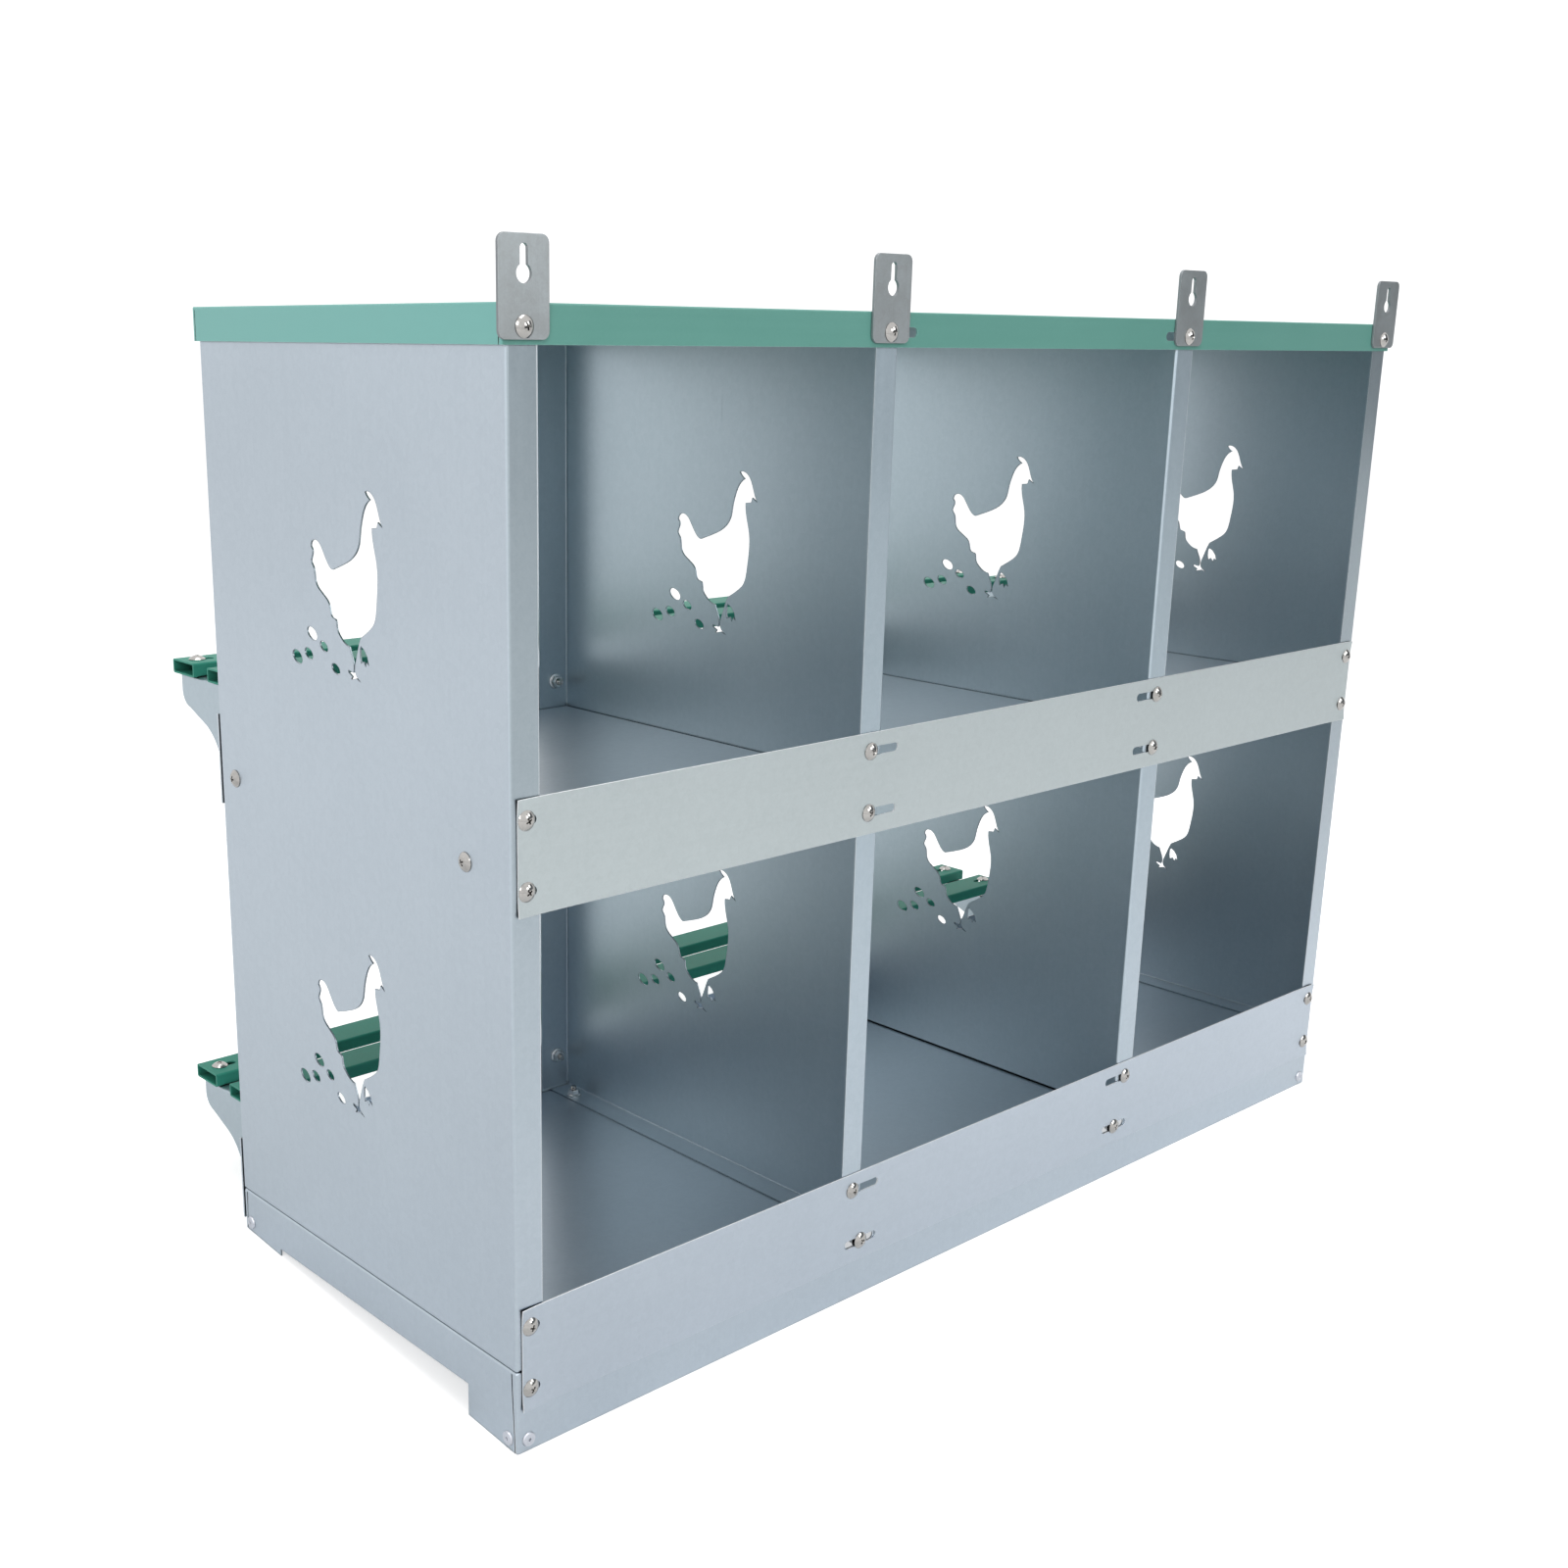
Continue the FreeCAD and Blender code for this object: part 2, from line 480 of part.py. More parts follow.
def bracket_outline(face, rise):
    """Side view of the bracket's web: a leg on the rail that flares out under the perches."""
    foot = RAIL_LOW + BRACKET_MARGIN + rise
    under = PERCH_TOP - PERCH_HEIGHT + rise
    tip = FRONT - PERCH_REACH + BRACKET_TIP
    leg = face - BRACKET_LEG
    waist = under - WAIST_DROP
    top = under - BRACKET_FOLD

    def at(y, z):
        return V(BRACKET_X - BRACKET_SHEET, y, z)

    flare = Part.Arc(at(leg, waist), at(leg - FLARE[0], waist + FLARE[1]),
                     at(leg - FLARE_END[0], waist + FLARE_END[1])).toShape()
    chin = Part.Arc(at(tip + CHIN_START[0], under - CHIN_START[1]),
                    at(tip + CHIN_MIDDLE[0], under - CHIN_MIDDLE[1]),
                    at(tip + CHIN_END[0], under - CHIN_END[1])).toShape()
    back = Part.makePolygon([at(tip, under - CHIN_END[1]), at(tip, top), at(face, top),
                             at(face, foot), at(leg, foot), at(leg, waist)])
    brace = Part.makeLine(at(leg - FLARE_END[0], waist + FLARE_END[1]),
                          at(tip + CHIN_START[0], under - CHIN_START[1]))
    return Part.Face(Part.Wire([flare, brace, chin] + back.Edges))


def perch_bracket(rise):
    """Right-hand bracket: a flange on the rail, a web, and a tab under the perches."""
    face = FRONT - SHEET
    inner_face = BRACKET_X - BRACKET_SHEET
    tip = FRONT - PERCH_REACH + BRACKET_TIP
    foot = RAIL_LOW + BRACKET_MARGIN + rise
    angle = folded_sheet((inner_face, tip - CUT_PAST, foot),
                         (HALF_WIDTH, face, PERCH_TOP + rise),
                         ("right", "front", "bottom", "top"), BRACKET_SHEET, BRACKET_FOLD)
    outline = bracket_outline(face, rise).extrude(X_AXIS * (HALF_WIDTH - inner_face))
    flange_top = RAIL_LOW + RAIL_HEIGHT - BRACKET_MARGIN + rise
    spare = block((BRACKET_X, face - BRACKET_FOLD, flange_top),
                  (HALF_WIDTH + CUT_PAST, face + CUT_PAST, PERCH_TOP + rise + CUT_PAST))
    under = PERCH_TOP - PERCH_HEIGHT + rise
    tab = folded_sheet((BRACKET_X - BRACKET_TAB, tip, under - BRACKET_TAB_LEG),
                       (BRACKET_X, PERCHES["inner"] + PERCH_DEPTH / 2, under),
                       ("left", "front", "rear", "bottom"), BRACKET_SHEET, BRACKET_FOLD)
    cutters = [hole(V(OUTER_COLUMNS["front"], face, z + rise), Y_AXIS)
               for z in (RAIL_SCREW_LOW, RAIL_SCREW_HIGH)]
    cutters += [hole(V(PERCH_SCREW_X, y, under), Z_AXIS) for y in PERCHES.values()]
    return angle.common(outline).cut(spare).fuse(tab).removeSplitter().cut(cutters)


# Fasteners

def screw(grip):
    """Domed cross-recess screw along +Z, its head's underside on z = 0."""
    radius = SCREW_HEAD / 2
    top = V(0, 0, -SCREW_HEAD_HEIGHT)
    rim = V(radius, 0, -SCREW_RIM)
    dome = (SCREW_HEAD_HEIGHT - SCREW_RIM)
    ball = (radius ** 2 + dome ** 2) / (2 * dome)
    lean = 0.5 * radius
    middle = V(lean, 0, top.z + ball - (ball ** 2 - lean ** 2) ** 0.5)
    profile = Part.Wire([Part.makeLine(V(0, 0, 0), V(radius, 0, 0)), Part.makeLine(V(radius, 0, 0), rim),
                         Part.Arc(rim, middle, top).toShape(), Part.makeLine(top, V(0, 0, 0))])
    head = Part.Face(profile).revolve(V(0, 0, 0), Z_AXIS, 360)
    half = RECESS_SPAN / 2
    arm = RECESS_WIDTH / 2
    floor = top.z + RECESS_DEPTH
    recess = [block((-half, -arm, top.z - CUT_PAST), (half, arm, floor)),
              block((-arm, -half, top.z - CUT_PAST), (arm, half, floor))]
    length = grip + NUT_HEIGHT + SCREW_PROUD
    shank = Part.makeCylinder(SCREW_SHANK / 2, length - SCREW_TIP)
    tip = Part.makeCone(SCREW_SHANK / 2, SCREW_SHANK / 2 - SCREW_TIP, SCREW_TIP,
                        V(0, 0, length - SCREW_TIP))
    return head.cut(recess).fuse([shank, tip])


def nut():
    """Flange nut along +Z, its flange's face on z = 0."""
    corner = V(NUT_ACROSS / 3 ** 0.5, 0, 0)
    turns = [FreeCAD.Rotation(Z_AXIS, 60 * step) for step in range(6)]
    body = prism([turn.multVec(corner) for turn in turns], Z_AXIS * NUT_HEIGHT)
    flange = Part.makeCylinder(NUT_FLANGE / 2, NUT_FLANGE_HEIGHT)
    bore = Part.makeCylinder(SCREW_SHANK / 2 + NUT_PLAY, NUT_HEIGHT)
    return body.fuse(flange).cut(bore)


def rivet():
    """Pulled rivet along +Z, its head's underside on z = 0."""
    grip = 2 * SHEET
    head = Part.makeCylinder(RIVET_HEAD / 2, RIVET_HEAD_HEIGHT, V(0, 0, -RIVET_HEAD_HEIGHT))
    shank = Part.makeCylinder(RIVET_SHANK / 2, grip)
    tail = Part.makeCylinder(RIVET_TAIL / 2, RIVET_TAIL_HEIGHT, V(0, 0, grip))
    bore = Part.makeCylinder(RIVET_BORE / 2, RIVET_BORE_DEPTH, V(0, 0, -RIVET_HEAD_HEIGHT))
    rim = [edge for edge in head.Edges if abs(edge.BoundBox.Center.z + RIVET_HEAD_HEIGHT) < TOUCH]
    return head.makeFillet(RIVET_HEAD_HEIGHT / 2, rim[:1]).fuse([shank, tail]).cut(bore)


def fastened(places):
    """Screws and nuts for stacks given as (outer face, inward direction, grip)."""
    made = {grip: screw(grip) for grip in {grip for _, _, grip in places}}
    screws = [aimed(made[grip], point, direction) for point, direction, grip in places]
    plain_nut = nut()
    nuts = [aimed(plain_nut, point + direction * grip, direction)
            for point, direction, grip in places]
    return Part.makeCompound(screws), Part.makeCompound(nuts)


def rail_places(face, outer_grip):
    """Stacks of a face's two rails; the outer columns may also clamp a bracket."""
    y, inward = FACES[face]
    outer, inner = OUTER_COLUMNS[face], INNER_COLUMNS[face]
    places = []
    for level, rise in LEVEL_RISES.items():
        for z, inner_x in ((RAIL_SCREW_LOW, PARTITION_X if level == "lower" else inner),
                           (RAIL_SCREW_HIGH, inner)):
            for x in both_sides(inner_x, outer):
                grip = outer_grip if abs(x) == outer else 2 * SHEET
                places.append((V(x, y + inward * (SHEET - grip), z + rise), Y_AXIS * inward, grip))
    return places


def shelf_places():
    """Stacks through the side panels and the partitions into the shelves' flanges."""
    places = []
    for y in (REAR - SHELF_SCREW_REAR, FRONT + SHELF_SCREW_FRONT):
        for side in (-1, 1):
            places.append((V(side * HALF_WIDTH, y, SHELF_SCREW_Z), X_AXIS * -side, 2 * SHEET))
            places.append((V(side * (PARTITION_X - SHEET), y, SHELF_SCREW_Z), X_AXIS * side,
                           3 * SHEET))
    return places


def all_fasteners():
    """Every group of screws and nuts, by the name of what it holds."""
    columns = {face: both_sides(INNER_COLUMNS[face], OUTER_COLUMNS[face]) for face in FACES}
    rear_lid = [(V(x, REAR + SHEET + TAB_SHEET, LID_SCREW_Z), Y_AXIS * -1, 2 * SHEET + TAB_SHEET)
                for x in columns["rear"]]
    front_lid = [(V(x, FRONT - SHEET, LID_SCREW_Z), Y_AXIS, 2 * SHEET) for x in columns["front"]]
    floor = [(V(x, y + inward * FLOOR_SCREW_INSET, PLINTH_HEIGHT - SHEET), Z_AXIS, 2 * SHEET)
             for face, (y, inward) in FACES.items() for x in columns[face]]
    on_perches = [(V(side * PERCH_SCREW_X, y, PERCH_TOP + rise), Z_AXIS * -1,
                   PERCH_HEIGHT + BRACKET_SHEET)
                  for side in (-1, 1) for rise in LEVEL_RISES.values() for y in PERCHES.values()]
    return {"lid_rear": rear_lid, "lid_front": front_lid,
            "rear_rail": rail_places("rear", 2 * SHEET),
            "front_rail": rail_places("front", 2 * SHEET + BRACKET_SHEET),
            "shelf": shelf_places(), "floor": floor, "perch": on_perches}


def assembly():
    """All pieces by name."""
    panel = flanged_panel()
    side_panel = moved(panel, HALF_WIDTH, 0, 0)
    partition = moved(mirrored(panel), PARTITION_X, 0, 0)
    pieces = {"base_tray": base_tray(),
              "side_panel_left": mirrored(side_panel), "side_panel_right": side_panel,
              "partition_left": mirrored(partition), "partition_right": partition,
              "shelf_left": shelf(-HALF_WIDTH + SHEET, -PARTITION_X - SHEET),
              "shelf_middle": shelf(-PARTITION_X, PARTITION_X),
              "shelf_right": shelf(PARTITION_X + SHEET, HALF_WIDTH - SHEET),
              "lid": lid()}
    for face, (y, _) in FACES.items():
        angle = corner_angle(y, face)
        pieces["corner_angle_%s_right" % face] = angle
        pieces["corner_angle_%s_left" % face] = mirrored(angle)
        for name, level in (("bottom", "lower"), ("middle", "upper")):
            pieces["rail_%s_%s" % (face, name)] = rail(face, LEVEL_RISES[level])
    for name, column in (("outer", OUTER_COLUMNS["rear"]), ("inner", INNER_COLUMNS["rear"])):
        for side, x in zip(("left", "right"), both_sides(column)):
            pieces["hanger_tab_%s_%s" % (name, side)] = hanger_tab(x)
    for level, rise in LEVEL_RISES.items():
        bracket = perch_bracket(rise)
        pieces["perch_bracket_%s_right" % level] = bracket
        pieces["perch_bracket_%s_left" % level] = mirrored(bracket)
        for row, y in PERCHES.items():
            pieces["perch_%s_%s" % (level, row)] = perch(y, PERCH_TOP + rise)
    right_rivets = [aimed(rivet(), point, direction) for point, direction in rivet_places()]
    left_rivets = [mirrored(solid) for solid in right_rivets]
    pieces["corner_rivets"] = Part.makeCompound(right_rivets + left_rivets)
    for name, places in all_fasteners().items():
        pieces[name + "_screws"], pieces[name + "_nuts"] = fastened(places)
    return pieces


os.makedirs("parts", exist_ok=True)
for node, shape in assembly().items():
    shape.exportStep("parts/%s.step" % node)
    box = shape.BoundBox
    print(node, len(shape.Solids), shape.isValid(), round(shape.Volume, 1),
          [round(value, 2) for value in (box.XMin, box.XMax, box.YMin, box.YMax, box.ZMin, box.ZMax)])
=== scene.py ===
import logging
import math
import random
from dataclasses import dataclass
from enum import Enum

import bmesh
import bpy
from bmesh.types import BMEdge, BMesh, BMVert
from bpy.types import Material, Mesh, Object
from bpy.types import NodeSocket as Socket, NodeTree as Tree
from mathutils import Matrix, Vector


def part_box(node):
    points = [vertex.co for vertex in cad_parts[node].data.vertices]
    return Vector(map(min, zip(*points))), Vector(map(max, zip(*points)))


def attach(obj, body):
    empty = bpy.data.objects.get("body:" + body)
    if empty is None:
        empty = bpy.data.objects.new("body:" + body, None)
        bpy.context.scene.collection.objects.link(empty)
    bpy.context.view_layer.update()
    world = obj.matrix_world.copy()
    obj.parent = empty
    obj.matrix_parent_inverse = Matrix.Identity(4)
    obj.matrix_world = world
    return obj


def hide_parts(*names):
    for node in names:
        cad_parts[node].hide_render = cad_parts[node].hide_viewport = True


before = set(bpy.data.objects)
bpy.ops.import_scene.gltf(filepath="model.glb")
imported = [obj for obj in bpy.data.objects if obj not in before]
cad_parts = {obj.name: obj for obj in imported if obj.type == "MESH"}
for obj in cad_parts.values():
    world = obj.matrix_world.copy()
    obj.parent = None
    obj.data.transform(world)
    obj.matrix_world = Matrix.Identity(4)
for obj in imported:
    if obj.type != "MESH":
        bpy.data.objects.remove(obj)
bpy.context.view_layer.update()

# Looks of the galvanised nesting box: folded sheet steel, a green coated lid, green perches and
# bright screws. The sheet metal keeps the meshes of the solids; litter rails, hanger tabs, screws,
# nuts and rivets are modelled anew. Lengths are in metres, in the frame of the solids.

MM = 0.001
WELD = 0.01 * MM
CUT_DEPTH = 20 * MM          # cutters are long enough to go right through
SMOOTH_ANGLE = math.radians(35)
QUARTER = math.pi / 2
PROBE_RAYS = 4               # rays of the nodes that feel for edges and hollows
SQUARE_ON = (0.6, 0.9)       # how squarely a face looks along an axis: not yet, fully
NARROW = (0.97, 0.70)        # the same for the rims of a flat part, which look elsewhere
BENT = (0.99, 0.75)          # how far a rounded direction agrees with the true one: flat, edge
SLOT_STEPS = 22
HOLE_STEPS = 40
SPIN_STEPS = 32
LOG = logging.getLogger("nesting_box")

Pair = tuple[float, float]
Triple = tuple[float, float, float]


class Axis(Enum):
    """Direction in which a sheet was rolled or a part was drawn."""

    X = Vector((1, 0, 0))
    Y = Vector((0, 1, 0))
    Z = Vector((0, 0, 1))


# Colours and shader nodes


def linear(colour: str) -> tuple[float, float, float, float]:
    """Turns an sRGB hex value into a linear colour.

    Args:
        colour: six hex digits after a hash sign.

    Returns:
        Red, green, blue and an alpha of 1.
    """
    parts = [int(colour[i:i + 2], 16) / 255 for i in (1, 3, 5)]
    red, green, blue = [p / 12.92 if p <= 0.04045 else ((p + 0.055) / 1.055) ** 2.4 for p in parts]
    return red, green, blue, 1.0


def per_metre(size_mm: float) -> float:
    """Scale of a pattern whose features are this many millimetres wide."""
    return 1000 / size_mm


def add_node(tree: Tree, kind: str, settings: dict | None = None,
             sockets: dict | None = None) -> bpy.types.Node:
    """Adds one node with its settings and links.

    Args:
        tree: the node tree that it joins.
        kind: the node's type, without the words ShaderNode.
        settings: attributes of the node by name.
        sockets: a value, or another node's output to link, by the input's name or number.

    Returns:
        The new node.
    """
    node = tree.nodes.new("ShaderNode" + kind)
    for name, value in (settings or {}).items():
        setattr(node, name, value)
    for name, value in (sockets or {}).items():
        if isinstance(value, Socket):
            tree.links.new(value, node.inputs[name])
        else:
            node.inputs[name].default_value = value
    return node


def reckon(tree: Tree, operation: str, *values: Socket | float, clamp: bool = False) -> Socket:
    """Output of a sum, product or the like of some values, kept within 0 and 1 on demand."""
    return add_node(tree, "Math", {"operation": operation, "use_clamp": clamp},
                    dict(enumerate(values))).outputs[0]


def ramp(tree: Tree, value: Socket, start: float, end: float, low: float = 0.0,
         high: float = 1.0) -> Socket:
    """Output that goes from low to high while a value goes from start to end, and stays there."""
    return add_node(tree, "MapRange", {}, {
        "Value": value, "From Min": start, "From Max": end, "To Min": low, "To Max": high}).outputs[0]


def far_from(tree: Tree, value: Socket, middle: float, start: float, end: float) -> Socket:
    """Mask that goes from 0 to 1 while a value's distance from a middle goes from start to end."""
    off = reckon(tree, "ABSOLUTE", reckon(tree, "SUBTRACT", value, middle))
    return ramp(tree, off, start, end)


def facing(tree: Tree) -> bpy.types.NodeOutputs:
    """The surface's direction, as one output for each axis."""
    normal = add_node(tree, "NewGeometry").outputs["Normal"]
    return add_node(tree, "SeparateXYZ", {}, {0: normal}).outputs


def weave(tree: Tree, base: float, *patterns: tuple[Socket, float]) -> Socket:
    """Lets patterns swing a value about its base.

    Args:
        tree: the node tree.
        base: the value where every pattern is at its middle, 0.5.
        patterns: each pattern's output and the full swing that it gives.

    Returns:
        Output that holds the sum.
    """
    total = base - sum(swing for _, swing in patterns) / 2
    for pattern, swing in patterns:
        total = reckon(tree, "MULTIPLY_ADD", pattern, swing, total)
    return total


def bare_material(name: str) -> tuple[Material, Tree]:
    """Makes a material without nodes.

    Args:
        name: the material's name.

    Returns:
        The material and its node tree.
    """
    material = bpy.data.materials.new(name)
    material.use_nodes = True
    material.node_tree.nodes.clear()
    return material, material.node_tree


# Places


@dataclass
class Layout:
    """Places that the sub-assemblies share, read from the solids."""

    half_width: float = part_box("side_panel_right")[1].x
    rear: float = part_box("side_panel_right")[1].y
    front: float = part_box("side_panel_right")[0].y
    tray_top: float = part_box("base_tray")[1].z
    shelf_top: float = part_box("shelf_middle")[1].z
    partition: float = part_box("partition_right")[0].x
    sheet: float = 1.0 * MM
    rear_column: float = 10.0 * MM
    front_column: float = 12.5 * MM

    def sides(self) -> list[tuple[str, float, int, float]]:
        """Each face's name, place, outward sign along Y and distance from panel to flange screw."""
        return [("rear", self.rear, 1, self.rear_column), ("front", self.front, -1, self.front_column)]

    def outer(self, inset: float) -> Pair:
        """Columns of screws in the side panels' flanges."""
        return -(self.half_width - inset), self.half_width - inset

    def inner(self, inset: float) -> Pair:
        """Columns of screws in the partitions' flanges."""
        return -(self.partition + inset), self.partition + inset


# Finishes


@dataclass(frozen=True)
class Finish:
    """What every finish has: a name, a light and a dark tone, and how it was worked."""

    name: str
    light: str
    dark: str
    roughness: float
    worked: Axis = Axis.Z
    edge: str = "#f3f6f8"        # sheared edges and corners: bare bright steel, partly a painted highlight

    def start(self) -> tuple[Material, Tree, Socket]:
        """New material, its node tree and the Object coordinates."""
        material, tree = bare_material(self.name)
        return material, tree, add_node(tree, "TexCoord").outputs["Object"]

    def noise(self, tree: Tree, place: Socket, size_mm: float, detail: float = 2.0) -> Socket:
        """Soft pattern, alike in every direction, with features of one size and finer layers."""
        return add_node(tree, "TexNoise", {}, {
            "Vector": place, "Scale": per_metre(size_mm), "Detail": detail}).outputs["Fac"]

    def streaks(self, tree: Tree, place: Socket, across_mm: float, along_mm: float,
                detail: float) -> Socket:
        """Soft pattern stretched along the working direction.

        Args:
            tree: the node tree.
            place: coordinates in metres.
            across_mm: width of the pattern's features.
            along_mm: their length.
            detail: how many finer layers it has.

        Returns:
            The pattern's output.
        """
        scale = [per_metre(along_mm if part else across_mm) for part in self.worked.value]
        drawn = add_node(tree, "Mapping", {}, {"Vector": place, "Scale": scale}).outputs[0]
        sockets = {"Vector": drawn, "Scale": 1.0, "Detail": detail}
        return add_node(tree, "TexNoise", {}, sockets).outputs["Fac"]

    def dents(self, tree: Tree, height: Socket, strength: float, depth_mm: float,
              under: Socket | None = None) -> Socket:
        """Surface direction that makes a pattern look raised.

        Args:
            tree: the node tree.
            height: the pattern.
            strength: share of the effect.
            depth_mm: the pattern's full height.
            under: surface direction that the pattern lies on.

        Returns:
            The surface direction's output.
        """
        sockets = {"Strength": strength, "Distance": depth_mm * MM, "Height": height}
        if under:
            sockets["Normal"] = under
        return add_node(tree, "Bump", {}, sockets).outputs[0]

    def open_air(self, tree: Tree, width_mm: float, closed: float, clear: float) -> Socket:
        """Mask from 0 in hollows up to a width, a closed share of open air, to 1 at a clear one."""
        air = add_node(tree, "AmbientOcclusion", {"samples": PROBE_RAYS}, {"Distance": width_mm * MM})
        return ramp(tree, air.outputs["AO"], closed, clear)

    def edges(self, tree: Tree, width_mm: float) -> Socket:
        """Mask that is 1 on edges and folds and 0 on flat sheet.

        Args:
            tree: the node tree.
            width_mm: how far the mask reaches from an edge.

        Returns:
            The mask's output.
        """
        rounded = add_node(tree, "Bevel", {"samples": PROBE_RAYS}, {"Radius": width_mm * MM}).outputs[0]
        plain = add_node(tree, "NewGeometry").outputs["Normal"]
        same = add_node(tree, "VectorMath", {"operation": "DOT_PRODUCT"}, {0: rounded, 1: plain})
        return ramp(tree, same.outputs["Value"], *BENT)

    def blend(self, tree: Tree, share: Socket | float, first: Socket | str, second: Socket | str,
              way: str = "MIX") -> Socket:
        """Mixes two colours.

        Args:
            tree: the node tree.
            share: share of the second colour.
            first: a colour's output or its hex value.
            second: the other colour.
            way: how they mix.

        Returns:
            The colour's output.
        """
        first, second = [linear(part) if isinstance(part, str) else part for part in (first, second)]
        return add_node(tree, "Mix", {"data_type": "RGBA", "blend_type": way},
                        {0: share, 6: first, 7: second}).outputs[2]

    def close(self, tree: Tree, sockets: dict) -> None:
        """Adds the Principled shader with its inputs, and the output."""
        surface = add_node(tree, "BsdfPrincipled", {}, sockets)
        add_node(tree, "OutputMaterial", {}, {"Surface": surface.outputs[0]})


@dataclass(frozen=True)
class GalvanisedSteel(Finish):
    """Hot-dip galvanised and skin-passed sheet: satin zinc with hardly any spangle.

    The eye sees an even bluish grey with a fine grain, faint roll marks, soft cloudy gloss and
    brighter sheared edges, partly a painted highlight, and blurred reflections of what stands close
    to it. Painted shade darkens the flanges' upper parts, the walls inside the nests, slots and
    seams and the cut-outs' edges.
    """

    grain_mm: float = 1.3        # the true grain is about 0.1 mm, too fine to show
    spangle_mm: float = 3.5      # true crystals are about 1 mm, too fine to show
    cloud_mm: float = 140.0
    wave_mm: float = 190.0       # slack waves of thin sheet
    rolled_mm: Pair = (2.2, 260.0)     # roll marks, across and along
    hair_mm: Pair = (0.9, 45.0)        # hairlines, across and along
    scratched: Pair = (0.72, 0.80)     # hairlines above these are scratches
    edge_mm: float = 1.0         # how far the edge colours reach: bright edges, partly painted highlight, and the cut-outs' painted shade
    cut: str = "#5f6a70"         # edges of the cut-outs: painted shade, as of the sheet's thickness in shadow
    painted_seam_shade: str = "#434b50"       # painted shade in slots and seams
    flange: str = "#e0e3e1"      # painted shade that darkens the flanges' upper parts
    inner: str = "#f2f6f5"       # painted shade that darkens the sheet inside the nests
    flat: bool = False           # a flat part, whose rims alone take the edge colour and turn matt
    rim_matt_share: float = 0.85           # how far a rim turns matt; with the rails' near-white edge colour, a painted glint
    seams: Triple = (3.0, 0.40, 0.75)    # what counts as open air
    slots: Triple = (7.0, 0.50, 0.68)    # the same on the rims of a flat part
    flange_shade_heights: Pair = (120 * MM, 420 * MM)      # heights over which the flanges' painted shade grows
    inside: float = Layout.half_width - 0.3 * MM             # walls nearer to the middle are inner
    middle: float = (Layout.rear + Layout.front) / 2
    cut_zone: float = (Layout.rear - Layout.front) / 2 - 4.0 * MM    # beyond it edges are free

    def folded(self, tree: Tree, place: Socket, plain: Socket) -> Socket:
        """Colour of folded sheet: painted shade on the flanges' upper parts, inside the nests, in slots
        and seams and on the cut-outs' edges, and bright free edges, partly a painted highlight.

        Args:
            tree: the node tree.
            place: coordinates in metres.
            plain: colour of the flat sheet.

        Returns:
            The colour's output.
        """
        spot = add_node(tree, "SeparateXYZ", {}, {0: place}).outputs
        look = facing(tree)
        # Painted shade: flanges that face along the row's depth darken toward the top.
        upper = reckon(tree, "MULTIPLY", far_from(tree, look["Y"], 0.0, *SQUARE_ON),
                       far_from(tree, spot["Z"], 0.0, *self.flange_shade_heights))
        # Painted shade: walls inside the nests that face across the row darken.
        within = reckon(tree, "MULTIPLY", far_from(tree, look["X"], 0.0, *SQUARE_ON),
                        far_from(tree, spot["X"], 0.0, self.inside, self.inside - 0.2 * MM))
        colour = self.blend(tree, upper, plain, self.flange, "MULTIPLY")
        colour = self.blend(tree, within, colour, self.inner, "MULTIPLY")
        # Painted light on the edges: the cut-outs' edges take a painted shade, the free edges the bright
        # edge colour, partly a painted highlight.
        free = far_from(tree, spot["Y"], self.middle, self.cut_zone, self.cut_zone + 0.5 * MM)
        edge = self.blend(tree, free, self.cut, self.edge)
        colour = self.blend(tree, self.edges(tree, self.edge_mm), colour, edge)
        # Painted shade: slots and seams darken toward the seam-shade colour.
        return self.blend(tree, self.open_air(tree, *self.seams), self.painted_seam_shade, colour)

    def rims(self, tree: Tree) -> Socket:
        """Mask that is 1 on the narrow edges of a flat part that faces along Y."""
        narrow = far_from(tree, facing(tree)["Y"], 0.0, *NARROW)
        return reckon(tree, "MULTIPLY", narrow, self.open_air(tree, *self.slots))

    def material(self) -> Material:
        """Builds the node material.

        Returns:
            The material.
        """
        material, tree, place = self.start()
        cloud = self.noise(tree, place, self.cloud_mm)
        wave = self.noise(tree, place, self.wave_mm, 0.0)
        grain = self.noise(tree, place, self.grain_mm)
        cells = {"Vector": place, "Scale": per_metre(self.spangle_mm)}
        spangle = add_node(tree, "TexVoronoi", {}, cells)
        crystal = add_node(tree, "SeparateColor", {}, {0: spangle.outputs["Color"]}).outputs[0]
        rolled = self.streaks(tree, place, *self.rolled_mm, 3.0)
        scratch = ramp(tree, self.streaks(tree, place, *self.hair_mm, 1.0), *self.scratched)
        tone = weave(tree, 0.55, (cloud, 0.5), (rolled, 0.25), (grain, 0.5), (crystal, 0.18))
        colour = self.blend(tree, tone, self.dark, self.light)
        metal = 1.0
        # On the rails, the near-white matt rims are a painted glint along the sheared edges.
        if self.flat:
            rims = self.rims(tree)
            colour = self.blend(tree, rims, colour, self.edge)
            metal = reckon(tree, "MULTIPLY_ADD", rims, -self.rim_matt_share, 1.0)
        else:
            colour = self.folded(tree, place, colour)
        gloss = weave(tree, self.roughness, (cloud, 0.10), (rolled, 0.06), (grain, 0.05))
        gloss = reckon(tree, "MULTIPLY_ADD", scratch, 0.12, gloss)
        relief = weave(tree, 0.5, (grain, 0.6), (crystal, 0.12), (rolled, 0.3))
        slack = self.dents(tree, wave, 0.35, 3.0)
        normal = self.dents(tree, relief, 0.25, 0.06, slack)
        self.close(tree, {"Base Color": colour, "Metallic": metal, "Roughness": gloss,
                          "Normal": normal})
        return material


